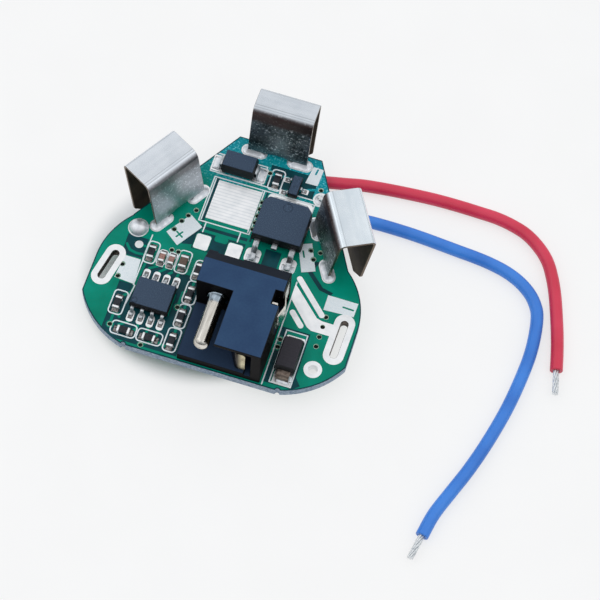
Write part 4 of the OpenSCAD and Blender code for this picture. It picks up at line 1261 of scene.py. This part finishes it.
def mound(sizes):
    # solder round a tab, 1 wide, 1 high and as long as the pad: it rises to the tab in a
    # hollow curve, from a rounded outline
    half, steps, around = sizes["straight"] / 2, sizes["steps"], sizes["around"]
    rings = []
    for i in range(steps + 1):
        t = i / steps
        height = (1 - t) ** 1.7 * 0.93 + 0.07 * (1 - t ** 6)
        ring = []
        for k in range(around):
            a = 2 * math.pi * (k + 0.5) / around
            ring.append((math.copysign(half, math.cos(a)) + 0.5 * t * math.cos(a),
                         0.5 * t * math.sin(a), height))
        rings.append(ring)
    points = [p for ring in rings[1:] for p in ring] + [(x, y, -0.05) for x, y, z in rings[-1]]
    top = len(points)
    points += [(-half, 0, 1), (half, 0, 1)]
    faces = [list(reversed(range(top - around, top)))]
    faces += bridge(around, top // around)
    for k in range(around):
        m = (k + 1) % around
        left, right = (points[n][0] < 0 for n in (k, m))
        if left == right:
            faces.append((top if left else top + 1, k, m))
        else:
            faces.append((top if left else top + 1, k, m, top + 1 if left else top))
    obj = newObject("moundForm", points, faces)
    fixNormals(obj)
    return obj


solderSizes = {"straight": 1.1, "steps": 9, "around": 32, "wide": 1.45, "high": 0.62,
               "under": 0.95, "tabs": (-3.0, 3.0)}
bladePlaces = [(-0.4, -3.1, 0), (4.5, -6, 0), (6.9, -4.4, 90)]


def makeMounds(tree):
    s, below = solderSizes, boardTop - padTop + boardEnd
    places = []
    for foot, turn, *_ in clipPlaces.values():
        a = math.radians(turn)
        for out in s["tabs"]:
            x, y = foot[0] + out * math.cos(a), foot[1] + out * math.sin(a)
            places.append((x, y, padTop, turn, (s["wide"], s["wide"], s["high"])))
            places.append((x, y, below, turn, (s["wide"], s["wide"], s["under"]), True))
    for x, y, turn in bladePlaces:
        places.append((x, y, below, turn, (1.5, 1.6, 1.0), True))
    copyForm("tab_solder", mound(s), places, finishes["solder"], tree)
    form = mound({**s, "straight": 0.05})
    spot = (*wire["blueHole"], padTop, 0, (1.5, 1.5, 0.6))
    joint = copyForm("blue_wire_solder", form, [spot], finishes["solder"], tree)
    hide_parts("solder_joints")
    print("solder mounds:", len(places) + 1)


placeTree = copyTree()
makeVias(placeTree)
makeMounds(placeTree)
makeFillets(placeTree)
makeBentLeads()
makePin()


# Pale floor and soft studio light

floorSizes = {"half": 1500, "height": -2.02, "clearMiddle": (-4.5, -2.5),
              "clearFrom": 12.8, "clearTo": 15.5, "glow": 0.66}
lamps = {"keyLight": {"place": (-330, -130, 300), "size": (640, 540), "power": 0.46},
         "fillLight": {"place": (330, -80, 290), "size": (540, 460), "power": 0.22}}


def makeFloor():
    s = floorSizes
    corners = ((-1, -1), (1, -1), (1, 1), (-1, 1))
    floor = newObject("floor", [(x * s["half"], y * s["half"], s["height"])
                                for x, y in corners], [(0, 1, 2, 3)])
    # matt painted board, lit so that it shows white, with the object's soft shadow on it
    mat, tree, shader, place = startMaterial("paintedBoard", 0.7, 0, 0.2)
    tone = mottle(tree, place, 8, [(0.3, "#f4f4f4"), (0.7, "#f8f8f8")])[1]
    tree.links.new(tone, shader.inputs["Base Color"])
    ray = addNode(tree, "ShaderNodeLightPath").outputs
    seen = ray["Is Camera Ray"]
    for kind in ("Is Glossy Ray", "Is Transmission Ray"):
        seen = addNode(tree, "ShaderNodeMath", {0: seen, 1: ray[kind]},
                       operation="MAXIMUM").outputs[0]
    middle = Vector((*s["clearMiddle"], 0)) * mm
    off = addNode(tree, "ShaderNodeVectorMath", {0: place, 1: middle}, operation="DISTANCE")
    clear = addNode(tree, "ShaderNodeMapRange", {        # none of the glow under the board
        "Value": off.outputs["Value"], "From Min": s["clearFrom"] * mm,
        "From Max": s["clearTo"] * mm, "To Max": s["glow"]}, interpolation_type="SMOOTHSTEP")
    share = addNode(tree, "ShaderNodeMath", {0: seen, 1: clear.outputs["Result"]},
                    operation="MULTIPLY")
    glow = addNode(tree, "ShaderNodeEmission", {"Color": (1, 1, 1, 1), "Strength": 1.0})
    addNode(tree, "ShaderNodeMixShader", {
        0: share.outputs[0], 1: shader.outputs["BSDF"], 2: glow.outputs["Emission"]},
        into=("Shader", tree.nodes["Material Output"].inputs["Surface"]))
    floor.data.materials.append(mat)


def areaLight(name, place, size, power):
    data = bpy.data.lights.new(name, "AREA")
    data.shape = "RECTANGLE"
    data.size, data.size_y = (s * mm for s in size)
    data.energy = power
    light = bpy.data.objects.new(name, data)
    scene.collection.objects.link(light)
    light.location = Vector(place) * mm
    light.rotation_mode = "QUATERNION"
    light.rotation_quaternion = (-light.location).to_track_quat("-Z", "Y")


def makeWorld():
    # a soft room: pale above and behind the board, greyer in front of it
    world = bpy.data.worlds.new("world")
    world.use_nodes = True
    tree = world.node_tree
    background = tree.nodes["Background"].inputs
    background["Strength"].default_value = 0.97
    way = addNode(tree, "ShaderNodeTexCoord").outputs["Generated"]
    turn = addNode(tree, "ShaderNodeSeparateXYZ", {"Vector": way}).outputs
    lean = addNode(tree, "ShaderNodeMath", {0: turn["Y"], 1: 0.45, 2: turn["Z"]},
                   operation="MULTIPLY_ADD")
    sky = addNode(tree, "ShaderNodeMapRange", {
        "Value": lean.outputs[0], "From Min": -0.3, "From Max": 1.0})
    addNode(tree, "ShaderNodeValToRGB", {"Fac": sky.outputs["Result"]},
            [(0.0, "#606264"), (0.45, "#afb3b7"), (0.9, "#f7f9fb")],
            into=("Color", background["Color"]))
    scene.world = world


makeFloor()
for name, lamp in lamps.items():
    areaLight(name, **lamp)
makeWorld()
print("stage and light ready")
